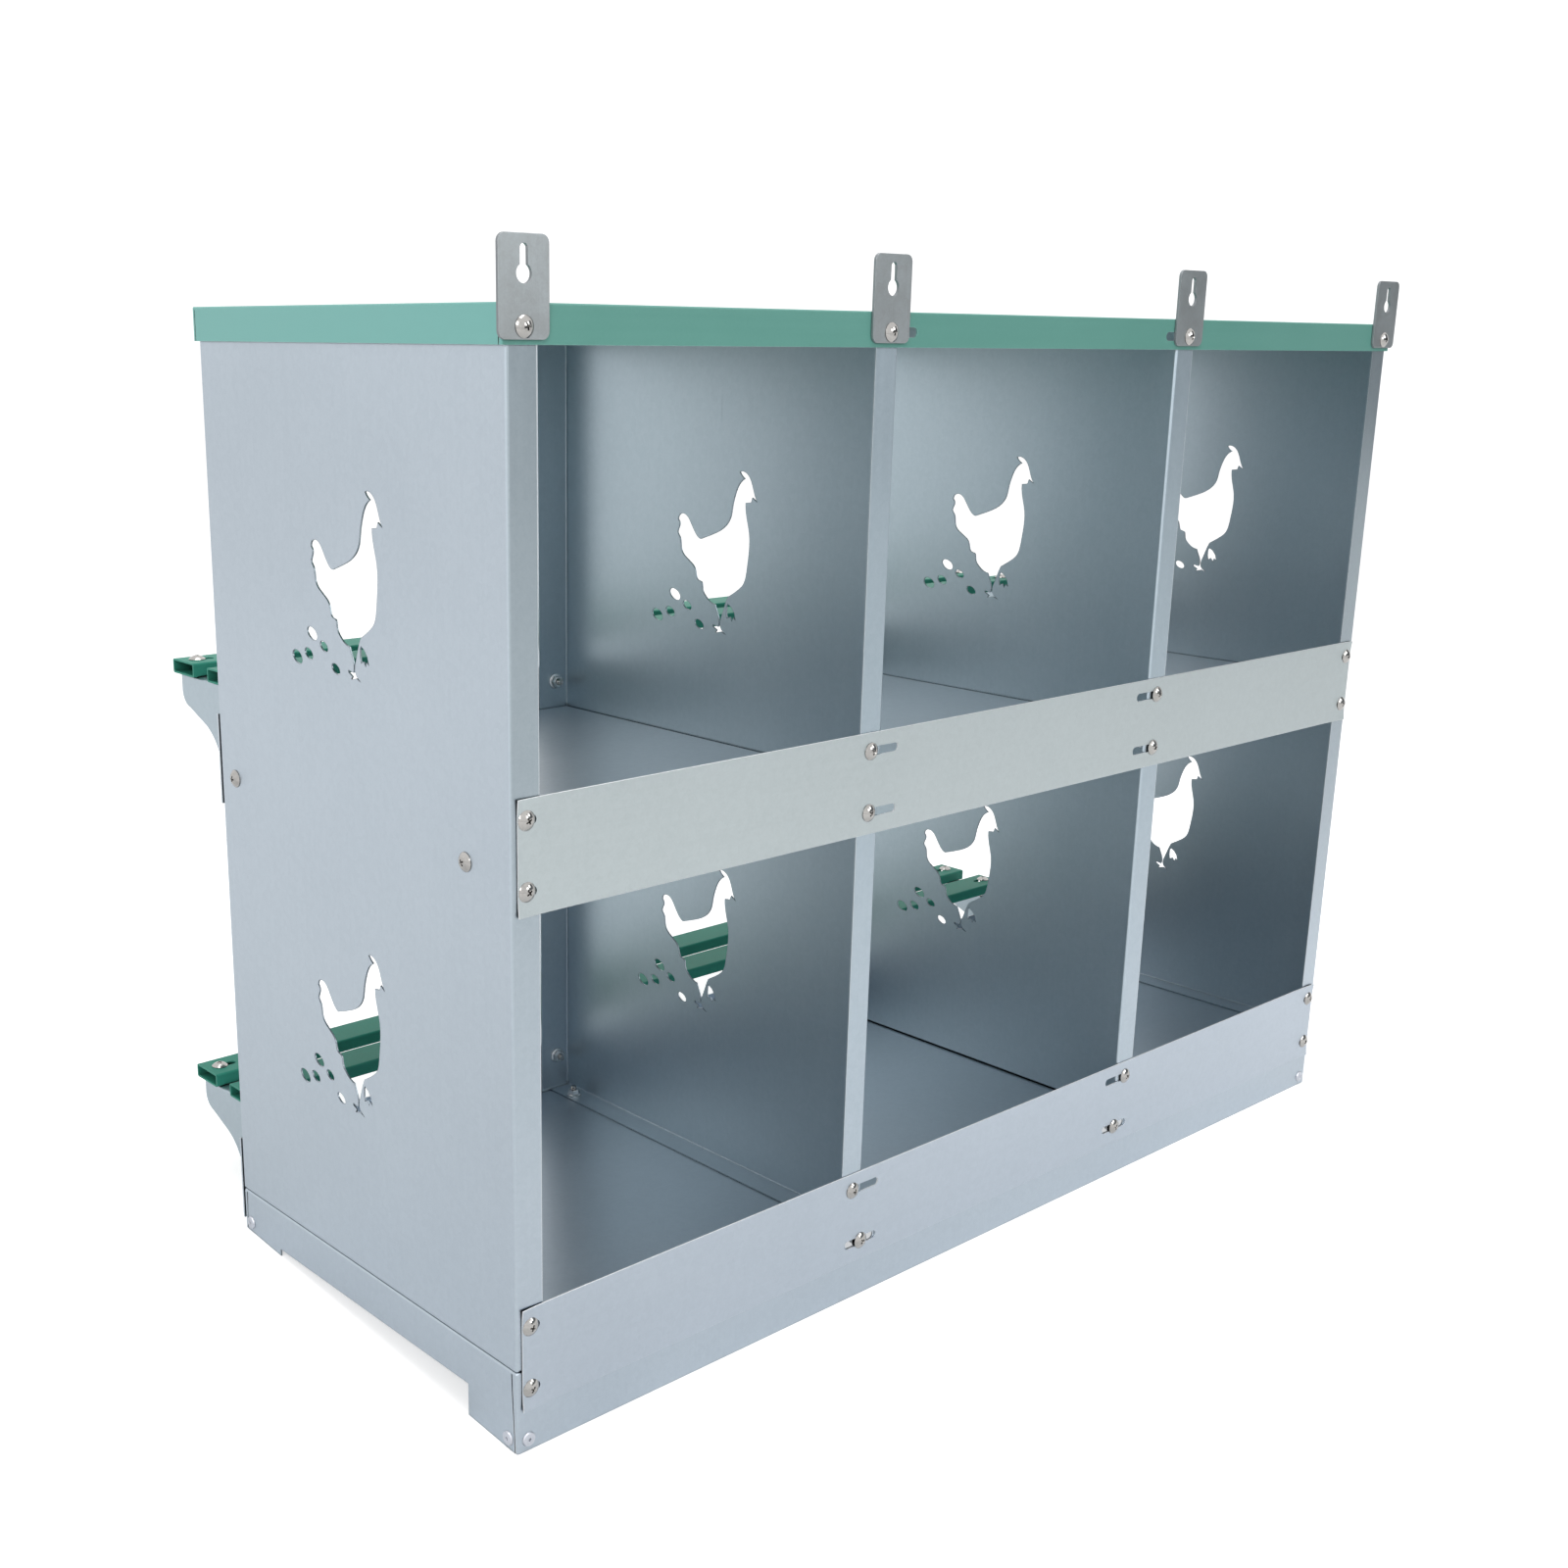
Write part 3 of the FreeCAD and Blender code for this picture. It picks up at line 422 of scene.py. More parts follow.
@dataclass(frozen=True)
class CoilCoating(Finish):
    """Green polyester coating on steel, rolled or sprayed on: semi-gloss with fine orange peel.

    The eye sees a flat blue-green with a soft glare, faint mottling, paler edges where the
    coating is thin, painted shade in hollows and, on the lid's end faces, a painted sheen.
    """

    peel_mm: float = 1.8         # true orange peel is about 0.7 mm, too fine to show
    mottle_mm: float = 60.0
    drawn_mm: Pair = (3.0, 180.0)      # drawing marks, across and along
    edge_mm: float = 0.7         # how far the pale edges reach
    hollow_shade: str = "#1f3a33"      # painted shade in hollows, chiefly inside the tubes
    hollow_mm: float = 9.0       # openings narrower than this are hollows
    painted_end_sheen: str = ""           # painted sheen: faces along the row's ends made paler, as glare at a grazing angle
    glare: float = 0.5           # specular level

    def material(self) -> Material:
        """Builds the node material.

        Returns:
            The material.
        """
        material, tree, place = self.start()
        mottle = self.noise(tree, place, self.mottle_mm, 3.0)
        peel = self.noise(tree, place, self.peel_mm, 1.0)
        drawn = self.streaks(tree, place, *self.drawn_mm, 2.0)
        tone = weave(tree, 0.5, (mottle, 0.5), (drawn, 0.3), (peel, 0.3))
        colour = self.blend(tree, tone, self.dark, self.light)
        # Painted sheen on the faces along the row's ends.
        if self.painted_end_sheen:
            along = facing(tree)["X"]
            end = reckon(tree, "MULTIPLY", along, along, clamp=True)
            colour = self.blend(tree, end, colour, self.painted_end_sheen)
        colour = self.blend(tree, self.edges(tree, self.edge_mm), colour, self.edge)
        # Painted shade: hollows darken toward the hollow-shade colour.
        coated = self.open_air(tree, self.hollow_mm, 0.25, 0.60)
        colour = self.blend(tree, coated, self.hollow_shade, colour)
        gloss = weave(tree, self.roughness, (mottle, 0.10), (drawn, 0.06))
        self.close(tree, {"Base Color": colour, "Roughness": gloss, "Specular IOR Level": self.glare,
                          "Normal": self.dents(tree, peel, 0.2, 0.08)})
        return material


@dataclass(frozen=True)
class TurnedMetal(Finish):
    """Small parts of stainless steel, zinc plated steel or aluminium, cold headed and tumbled.

    The eye sees a bright dome with small sharp highlights, darker in its recess, and fine
    tumbling marks.
    """

    mark_mm: float = 1.1         # tumbling marks, drawn coarser than the true 0.1 mm
    stain_mm: float = 9.0
    hollow_mm: float = 1.6       # reach of the shade in the recess

    def material(self) -> Material:
        """Builds the node material.

        Returns:
            The material.
        """
        material, tree, place = self.start()
        mark = self.noise(tree, place, self.mark_mm, 3.0)
        stain = self.noise(tree, place, self.stain_mm)
        tone = weave(tree, 0.30, (mark, 0.3), (stain, 0.4))
        # Painted shade: the tone darkens in the recess and where the part meets the sheet.
        open_air = self.open_air(tree, self.hollow_mm, 0.0, 1.0)
        tone = reckon(tree, "MULTIPLY_ADD", open_air, 0.5, tone, clamp=True)
        gloss = weave(tree, self.roughness, (stain, 0.08), (mark, 0.08))
        colour = self.blend(tree, tone, self.dark, self.light)
        self.close(tree, {"Base Color": colour, "Metallic": 1.0, "Roughness": gloss,
                          "Normal": self.dents(tree, mark, 0.15, 0.05)})
        return material


# Meshes


def clean(bm: BMesh, name: str) -> Mesh:
    """Closes a bmesh into a mesh with welded corners, outward faces and smooth rounds.

    Args:
        bm: the bmesh, which is freed.
        name: the mesh's name.

    Returns:
        The finished mesh.
    """
    bmesh.ops.remove_doubles(bm, verts=bm.verts[:], dist=WELD)
    bmesh.ops.recalc_face_normals(bm, faces=bm.faces[:])
    mesh = bpy.data.meshes.new(name)
    bm.to_mesh(mesh)
    bm.free()
    mesh.shade_smooth()
    mesh.set_sharp_from_angle(angle=SMOOTH_ANGLE)
    return mesh


def block(low: Vector, high: Vector) -> BMesh:
    """Box between two corners.

    Args:
        low: its lowest corner.
        high: its highest corner.

    Returns:
        The bmesh.
    """
    bm = bmesh.new()
    place = Matrix.Translation((low + high) / 2) @ Matrix.Diagonal((*(high - low), 1))
    bmesh.ops.create_cube(bm, size=1, matrix=place)
    return bm


def rod(radius: float, length: float, segments: int, place: Matrix) -> BMesh:
    """Closed prism or cylinder about Z.

    Args:
        radius: distance of its corners from its axis.
        length: its length.
        segments: faces around it.
        place: where its middle goes and how it turns.

    Returns:
        The bmesh.
    """
    bm = bmesh.new()
    bmesh.ops.create_cone(bm, cap_ends=True, segments=segments, radius1=radius, radius2=radius,
                          depth=length, matrix=place)
    return bm


def pointed(direction: Vector) -> Matrix:
    """Turn that points +Z along a direction."""
    return direction.to_track_quat("Z", "Y").to_matrix().to_4x4()


def edges_along(bm: BMesh, axis: Axis) -> list[BMEdge]:
    """Edges that run along an axis."""
    return [edge for edge in bm.edges
            if abs((edge.verts[1].co - edge.verts[0].co).normalized().dot(axis.value)) > 0.999]


def slice_at(bm: BMesh, axis: Axis, spot: float) -> None:
    """Adds edges where a plane across an axis, at a spot along it, meets a shape."""
    bmesh.ops.bisect_plane(bm, geom=bm.verts[:] + bm.edges[:] + bm.faces[:],
                           plane_co=axis.value * spot, plane_no=axis.value)


def round_off(bm: BMesh, edges: list[BMEdge], radius: float,
              segments: int) -> None:
    """Rounds edges by a radius, with some faces across the round."""
    bmesh.ops.bevel(bm, geom=edges, offset=radius, offset_type="OFFSET", segments=segments,
                    profile=0.5, affect="EDGES", material=-1)


def revolved(profile: list[Pair], steps: int) -> BMesh:
    """Spins a profile about Z into a closed shape.

    Args:
        profile: (radius, height) of each point, starting and ending on the axis.
        steps: faces around the axis.

    Returns:
        The bmesh.
    """
    bm = bmesh.new()
    points = [bm.verts.new((radius, 0, height)) for radius, height in profile]
    line = [bm.edges.new(pair) for pair in zip(points, points[1:])]
    bmesh.ops.spin(bm, geom=points + line, axis=Axis.Z.value, cent=(0, 0, 0), steps=steps,
                   angle=2 * math.pi, use_merge=True)
    bmesh.ops.remove_doubles(bm, verts=bm.verts[:], dist=WELD)
    return bm


def pill(length: float, width: float) -> BMesh:
    """Cutter for a slot with round ends: long along X, cutting along Y, its middle at the origin.

    Args:
        length: the slot's length.
        width: the slot's width.

    Returns:
        The bmesh.
    """
    bm = bmesh.new()
    bmesh.ops.create_circle(bm, cap_ends=True, radius=width / 2, segments=SLOT_STEPS)
    for vert in bm.verts:
        vert.co.x += math.copysign((length - width) / 2, vert.co.x)
        vert.co.z = -CUT_DEPTH / 2
    walls = bmesh.ops.extrude_face_region(bm, geom=bm.faces[:])
    risen = [part for part in walls["geom"] if isinstance(part, BMVert)]
    bmesh.ops.translate(bm, verts=risen, vec=(0, 0, CUT_DEPTH))
    bmesh.ops.rotate(bm, verts=bm.verts[:], matrix=Matrix.Rotation(QUARTER, 3, "X"))
    return bm


def planted(copies: list[tuple[Mesh, Matrix]], name: str) -> Mesh:
    """Joins copies of meshes into one mesh.

    Args:
        copies: each copy's mesh and place.
        name: the new mesh's name.

    Returns:
        The joined mesh.
    """
    bm = bmesh.new()
    for mesh, place in copies:
        start = len(bm.verts)
        bm.from_mesh(mesh)
        bm.verts.ensure_lookup_table()
        bmesh.ops.transform(bm, matrix=place, verts=bm.verts[start:])
    return clean(bm, name)


def placed(name: str, data: bpy.types.ID) -> Object:
    """Puts a new object in the scene.

    Args:
        name: its name.
        data: its mesh, light or camera.

    Returns:
        The object.
    """
    item = bpy.data.objects.new(name, data)
    bpy.context.scene.collection.objects.link(item)
    return item


def carve(mesh: Mesh, cutter: Mesh) -> Mesh:
    """Cuts a closed mesh out of another.

    Args:
        mesh: what is cut.
        cutter: closed shapes that don't touch each other.

    Returns:
        The carved mesh.
    """
    blank, tool = placed("blank", mesh), placed("tool", cutter)
    cut = blank.modifiers.new("cut", "BOOLEAN")
    cut.operation, cut.solver, cut.object = "DIFFERENCE", "EXACT", tool
    carved = bpy.data.meshes.new_from_object(
        blank.evaluated_get(bpy.context.evaluated_depsgraph_get()))
    bpy.data.objects.remove(blank)
    bpy.data.objects.remove(tool)
    bm = bmesh.new()
    bm.from_mesh(carved)
    name = mesh.name
    for used in (mesh, cutter, carved):
        bpy.data.meshes.remove(used)
    return clean(bm, name)


def show(mesh: Mesh, material: Material, slot: str, *nodes: str) -> None:
    """Puts a finished mesh in the scene in place of solids.

    Args:
        mesh: the mesh, in place.
        material: its finish.
        slot: the record's material slot; not used.
        nodes: the solids that it stands for.
    """
    mesh.materials.clear()
    mesh.materials.append(material)
    piece = placed(mesh.name, mesh)
    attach(piece, "root")
    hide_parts(*nodes)
    even = piece.modifiers.new("even shading", "WEIGHTED_NORMAL")
    even.keep_sharp = True
    LOG.info("%s: %d faces, for %s", piece.name, len(mesh.polygons), ", ".join(nodes))


def dress(material: Material, *nodes: str) -> None:
    """Gives solids that keep their own mesh a finish.

    Args:
        material: the finish.
        nodes: names of the solids.
    """
    for name in nodes:
        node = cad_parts[name]
        for slot in node.material_slots:
            slot.material = material
        LOG.info("%s: %s", name, material.name)


# Sub-assemblies


@dataclass
class Carcass:
    """Plinth, side panels, partitions, shelves, perch brackets and the angles in the feet."""

    sides: tuple[str, ...] = ("side_panel_left", "side_panel_right")
    partitions: tuple[str, ...] = ("partition_left", "partition_right")
    shelves: tuple[str, ...] = ("shelf_left", "shelf_middle", "shelf_right")
    small: tuple[str, ...] = tuple(
        piece + side for side in ("_right", "_left") for piece in (
            "corner_angle_rear", "corner_angle_front", "perch_bracket_lower", "perch_bracket_upper"))
    panel_finish: GalvanisedSteel = GalvanisedSteel(
        "galvanised_panel_sheet", "#bfc9d2", "#adb8c2", 0.34)
    # The partitions' flanges take a lighter painted shade.
    partition_finish: GalvanisedSteel = GalvanisedSteel(
        "galvanised_partition_sheet", "#bfcad3", "#abb8c2", 0.40, flange="#edf1f1")
    # The floors' painted shade in seams is paler.
    floor_finish: GalvanisedSteel = GalvanisedSteel(
        "galvanised_floor_sheet", "#dbe0e6", "#c7cdd4", 0.38, Axis.X, painted_seam_shade="#6d757a")

    def dress(self) -> None:
        """Gives the panels an upright roll direction and the floors one along the row."""
        dress(self.panel_finish.material(), "base_tray", *self.sides, *self.small)
        dress(self.partition_finish.material(), *self.partitions)
        dress(self.floor_finish.material(), *self.shelves)


@dataclass
class Lid:
    """Coated lid with its folded skirts."""

    # The lid's end faces carry a painted sheen.
    finish: CoilCoating = CoilCoating(
        "coil_coated_green_lid", "#6cada1", "#5fa194", 0.36, Axis.X, "#a5cfc8", painted_end_sheen="#7bbcb5")

    def dress(self) -> None:
        """Gives the lid its coating."""
        dress(self.finish.material(), "lid")


@dataclass
class Perches:
    """Four coated rectangular tubes."""

    nodes: tuple[str, ...] = ("perch_lower_outer", "perch_lower_inner", "perch_upper_outer",
                              "perch_upper_inner")
    finish: CoilCoating = CoilCoating(
        "coated_green_perch_tube", "#3f9a87", "#318671", 0.46, Axis.X, "#62ac9a", glare=0.15)

    def dress(self) -> None:
        """Gives the perches their coating."""
        dress(self.finish.material(), *self.nodes)


@dataclass
class LitterRails:
    """Flat rails that keep the litter in, with eased long edges and corners that spring out."""

    layout: Layout
    height: float = 68.0 * MM
    end_gap: float = 4.0 * MM
    edge_round: float = 0.45 * MM
    screw_top: float = 12.5 * MM
    screw_foot: float = 14.5 * MM
    slot_length: float = 32.0 * MM
    slot_width: float = 6.0 * MM
    end_slot: float = 10.0 * MM
    stand_off: float = 0.35 * MM
    spring: float = 1.0 * MM
    spring_length: float = 34.0 * MM
    spring_steps: int = 6
    # The near-white edge colour of the rails' rims is a painted glint.
    bottom_finish: GalvanisedSteel = GalvanisedSteel(
        "galvanised_bottom_rail", "#c1cad4", "#b1bbc5", 0.36, Axis.X, "#fbfcfd", flat=True)
    middle_finish: GalvanisedSteel = GalvanisedSteel(
        "galvanised_middle_rail", "#bec7c9", "#aeb7b9", 0.36, Axis.X, "#fbfcfd", flat=True)

    def strip(self, y: float, outward: int, column: float, low: float, name: str) -> Mesh:
        """One rail.

        Args:
            y: the rail's inner face.
            outward: 1 on the rear face of the box, -1 on the front face.
            column: where the screws at its ends are.
            low: height of the lower edge.
            name: the mesh's name.

        Returns:
            The rail's mesh.
        """
        half = self.layout.half_width - self.end_gap
        outer = y + outward * self.layout.sheet
        bm = block(Vector((-half, min(y, outer), low)), Vector((half, max(y, outer), low + self.height)))
        round_off(bm, edges_along(bm, Axis.X), self.edge_round, 3)
        screws = low + self.screw_foot, low + self.height - self.screw_top
        self.spring_corners(bm, half, outward, screws)
        blank = clean(bm, name)
        cutters = bmesh.new()
        for z in screws:
            for side in (-1, 1):
                for x, length in ((column + (self.slot_width - self.end_slot) / 2, self.end_slot),
                                  (self.layout.partition, self.slot_length)):
                    cutter = pill(length, self.slot_width)
                    bmesh.ops.translate(cutter, verts=cutter.verts[:], vec=(side * x, y, z))
                    cutters.from_mesh(clean(cutter, "cutter"))
        return carve(blank, clean(cutters, "cutters"))

    def spring_corners(self, bm: BMesh, half: float, outward: int, screws: Pair) -> None:
        """Bends the corners beyond the end screws away from the box.

        Args:
            bm: the rail's bmesh.
            half: half of the rail's length.
            outward: 1 where the rail stands on the rear face, -1 on the front face.
            screws: heights of the lower and the upper screws.
        """
        low_screw, high_screw = screws
        top = max(vert.co.z for vert in bm.verts)
        foot = min(vert.co.z for vert in bm.verts)
        for step in range(self.spring_steps):
            share = step / self.spring_steps
            for side in (-1, 1):
                slice_at(bm, Axis.X, side * (half - self.spring_length * (1 - share)))
            slice_at(bm, Axis.Z, high_screw + (top - high_screw) * share)
            slice_at(bm, Axis.Z, low_screw - (low_screw - foot) * share)
        for vert in bm.verts:
            past = (abs(vert.co.x) - half + self.spring_length) / self.spring_length
            above = (vert.co.z - high_screw) / (top - high_screw)
            below = (low_screw - vert.co.z) / (low_screw - foot)
            lift = self.stand_off + self.spring * max(above, below, 0) ** 2
            vert.co.y += outward * lift * max(past, 0) ** 2

    def build(self) -> None:
        """Builds and dresses the four rails."""
        for level, finish in (("bottom", self.bottom_finish), ("middle", self.middle_finish)):
            material = finish.material()
            for face, y, outward, inset in self.layout.sides():
                node = "rail_%s_%s" % (face, level)
                column, low = self.layout.outer(inset)[1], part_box(node)[0].z
                mesh = self.strip(y, outward, column, low, "litter_" + node)
                show(mesh, material, "galvanised_rail", node)


@dataclass
class HangerTabs:
    """Flat tabs with keyholes that stand up from the lid's rear skirt."""

    layout: Layout
    corner: float = 4.5 * MM
    edge_round: float = 0.35 * MM
    keyhole_radius: float = 5.0 * MM
    keyhole_rise: float = 32.5 * MM
    neck_width: float = 5.3 * MM
    neck_margin: float = 4.8 * MM
    screw_rise: float = 6.5 * MM
    screw_hole: float = 2.8 * MM
    finish: GalvanisedSteel = GalvanisedSteel(
        "galvanised_tab_plate", "#a9b0b4", "#949796", 0.42, Axis.Z, "#878c90", cloud_mm=22.0, flat=True)

    def tab(self, low: Vector, high: Vector, name: str) -> Mesh:
        """One tab between its lowest and its highest corner.

        Args:
            low: lowest corner.
            high: highest corner.
            name: the mesh's name.

        Returns:
            The tab's mesh.
        """
        bm = block(low, high)
        round_off(bm, edges_along(bm, Axis.Y), self.corner, 7)
        rims = [edge for edge in bm.edges
                if abs(edge.verts[0].co.y - edge.verts[1].co.y) < WELD]
        round_off(bm, rims, self.edge_round, 2)
        mesh = clean(bm, name)
        middle = (low + high) / 2
        for radius, z in ((self.keyhole_radius, low.z + self.keyhole_rise),
                          (self.screw_hole, low.z + self.screw_rise)):
            through = Matrix.Translation((middle.x, middle.y, z)) @ Matrix.Rotation(QUARTER, 4, "X")
            mesh = carve(mesh, clean(rod(radius, CUT_DEPTH, HOLE_STEPS, through), "drill"))
        foot = low.z + self.keyhole_rise
        length = high.z - self.neck_margin - foot
        neck = pill(length, self.neck_width)
        bmesh.ops.rotate(neck, verts=neck.verts[:], matrix=Matrix.Rotation(QUARTER, 3, "Y"))
        bmesh.ops.translate(neck, verts=neck.verts[:], vec=(middle.x, middle.y, foot + length / 2))
        return carve(mesh, clean(neck, "neck"))

    def build(self) -> None:
        """Builds and dresses the four tabs."""
        material = self.finish.material()
        for place in ("outer_left", "inner_left", "inner_right", "outer_right"):
            node = "hanger_tab_" + place
            show(self.tab(*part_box(node), "keyhole_tab_" + place), material, "tab_steel", node)


@dataclass
class Fasteners:
    """All screws and flange nuts: domed heads with a cross recess, each turned its own way."""

    layout: Layout
    shank: float = 2.5 * MM
    head: float = 5.9 * MM
    head_height: float = 3.1 * MM
    rim: float = 0.5 * MM
    rim_round: float = 0.12 * MM
    dome_steps: int = 8
    recess_span: float = 5.6 * MM
    recess_width: float = 1.25 * MM
    recess_depth: float = 1.7 * MM
    recess_taper: Triple = (0.45, 0.6, 1.0)
    thread_pitch: float = 0.8 * MM
    thread_depth: float = 0.35 * MM
    point: float = 0.5 * MM
    nut_across: float = 8.0 * MM
    nut_height: float = 5.0 * MM
    nut_round: float = 0.6 * MM
    nut_play: float = 0.1 * MM
    nut_flange: float = 5.8 * MM
    nut_flange_height: float = 1.2 * MM
    nut_flange_shape: Pair = (0.5, 0.8)    # shares: where its rim ends, how wide its top is
    proud: float = 2.5 * MM
    around: int = 36
    tab: float = 2.0 * MM        # this and the next two: thickness of what is clamped
    bracket: float = 1.5 * MM
    perch: float = 10.0 * MM
    lid_rise: float = 9.0 * MM
    floor_inset: float = 23.0 * MM
    shelf_drop: float = 11.0 * MM
    shelf_rear_inset: float = 43.0 * MM
    shelf_front_inset: float = 19.0 * MM
    perch_inset: float = 11.0 * MM
    seed: int = 7
    screw_finish: TurnedMetal = TurnedMetal("stainless_steel_screw", "#bfbdba", "#4a4846", 0.13)
    nut_finish: TurnedMetal = TurnedMetal("zinc_plated_nut", "#dcdfe1", "#777c80", 0.24)

    def screw(self, grip: float) -> Mesh:
        """Screw along +Z with its head's underside on z = 0.

        Args:
            grip: thickness of what it clamps.

        Returns:
            The screw's mesh.
        """
        dome = self.head_height - self.rim
        ball = (self.head ** 2 + dome ** 2) / (2 * dome)
        lean = math.asin(self.head / ball)
        profile = [(0, -self.head_height)]
        for step in range(1, self.dome_steps + 1):
            angle = lean * step / self.dome_steps
            profile.append((ball * math.sin(angle), ball * (1 - math.cos(angle)) - self.head_height))
        profile += [(self.head, -self.rim_round), (self.head - self.rim_round, 0), (self.shank, 0)]
        start = grip - self.thread_pitch
        end = grip + self.nut_height + self.proud
        turns = int((end - start - self.thread_pitch) / self.thread_pitch)
        for turn in range(turns):
            z = start + turn * self.thread_pitch
            profile += [(self.shank, z), (self.shank - self.thread_depth, z + self.thread_pitch / 2)]
        profile += [(self.shank, end - self.point), (self.shank - self.point, end), (0, end)]
        mesh = clean(revolved(profile, self.around), "screw")
        deep_end = self.recess_depth - self.head_height
        corner = Vector((self.recess_span / 2, self.recess_width / 2, deep_end))
        for turn in (0, 1):
            wing = block(Vector((-corner.x, -corner.y, -self.head_height - MM)), corner)
            deep = [vert for vert in wing.verts if vert.co.z > -self.head_height]
            bmesh.ops.scale(wing, verts=deep, vec=self.recess_taper)
            bmesh.ops.rotate(wing, verts=wing.verts[:], matrix=Matrix.Rotation(turn * QUARTER, 3, "Z"))
            mesh = carve(mesh, clean(wing, "wing"))
        return mesh

    def nut(self) -> Mesh:
        """Flange nut along +Z with its flange on z = 0.

        Returns:
            The nut's mesh.
        """
        middle = Matrix.Translation((0, 0, self.nut_height / 2))
        hexagon = rod(self.nut_across / math.sqrt(3), self.nut_height, 6, middle)
        rim = [edge for edge in hexagon.edges
               if min(vert.co.z for vert in edge.verts) > self.nut_height - WELD]
        round_off(hexagon, rim, self.nut_round, 2)
        wide, high = self.nut_flange, self.nut_flange_height
        rim_share, top_share = self.nut_flange_shape
        flange = revolved([(0, 0), (wide, 0), (wide, rim_share * high), (top_share * wide, high),
                           (0, high)], self.around)
        nut = bmesh.new()
        for part, name in ((hexagon, "hexagon"), (flange, "flange")):
            bore = rod(self.shank + self.nut_play, CUT_DEPTH, SPIN_STEPS, Matrix())
            nut.from_mesh(carve(clean(part, name), clean(bore, "bore")))
        return clean(nut, "nut")

    def places(self) -> dict[str, list[tuple[Vector, Vector, float]]]:
        """Where each group's screws stand.

        Returns:
            By the group's name, each stack's outer face, inward direction and thickness.
        """
        box, sheet = self.layout, self.layout.sheet
        lid_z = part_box("lid")[0].z + self.lid_rise
        rows = {"shelf": [], "floor": [], "perch": []}
        for face, y, outward, inset in box.sides():
            inward = -outward * Axis.Y.value
            outer, inner = box.outer(inset), box.inner(inset)
            tab, bracket = (self.tab, 0.0) if face == "rear" else (0.0, self.bracket)
            rows["lid_" + face] = [
                (Vector((x, y, lid_z)) - inward * (sheet + tab), inward, 2 * sheet + tab)
                for x in inner + outer]
            rows["floor"] += [
                (Vector((x, y, box.tray_top - sheet)) + inward * self.floor_inset, Axis.Z.value,
                 2 * sheet) for x in inner + outer]
            rows[face + "_rail"] = []
            for level in ("bottom", "middle"):
                low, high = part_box("rail_%s_%s" % (face, level))
                lower = (-box.partition, box.partition) if level == "bottom" else inner
                for columns, z in ((lower, low.z + LitterRails.screw_foot),
                                   (inner, high.z - LitterRails.screw_top)):
                    stacks = [(x, 2 * sheet) for x in columns]
                    stacks += [(x, 2 * sheet + bracket) for x in outer]
                    rows[face + "_rail"] += [
                        (Vector((x, y, z)) - inward * (grip - sheet), inward, grip) for x, grip in stacks]
        shelf_z = box.shelf_top - self.shelf_drop
        for y in (box.rear - self.shelf_rear_inset, box.front + self.shelf_front_inset):
            for side in (-1, 1):
                away, between = Vector((side, 0, 0)), side * (box.partition - sheet)
                rows["shelf"] += [(Vector((side * box.half_width, y, shelf_z)), -away, 2 * sheet),
                                  (Vector((between, y, shelf_z)), away, 3 * sheet)]
        for node in Perches.nodes:
            low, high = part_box(node)
            x, y = high.x - self.perch_inset, (low.y + high.y) / 2
            rows["perch"] += [(Vector((side * x, y, high.z)), -Axis.Z.value, self.perch + self.bracket)
                              for side in (-1, 1)]
        return rows

    def build(self) -> None:
        """Builds and dresses every group of screws and nuts."""
        draw = random.Random(self.seed)
        screw_material, nut_material = self.screw_finish.material(), self.nut_finish.material()
        nut = self.nut()
        for group, stacks in self.places().items():
            screw = {grip: self.screw(grip) for grip in sorted({grip for _, _, grip in stacks})}
            screws, nuts = [], []
            for face, inward, grip in stacks:
                turned = pointed(inward) @ Matrix.Rotation(draw.uniform(0, QUARTER), 4, "Z")
                screws.append((screw[grip], Matrix.Translation(face) @ turned))
                nuts.append((nut, Matrix.Translation(face + inward * grip) @ turned))
            show(planted(screws, group + "_cross_recess_screws"), screw_material, "stainless_screw",
                 group + "_screws")
            show(planted(nuts, group + "_flange_nuts"), nut_material, "zinc_nut", group + "_nuts")


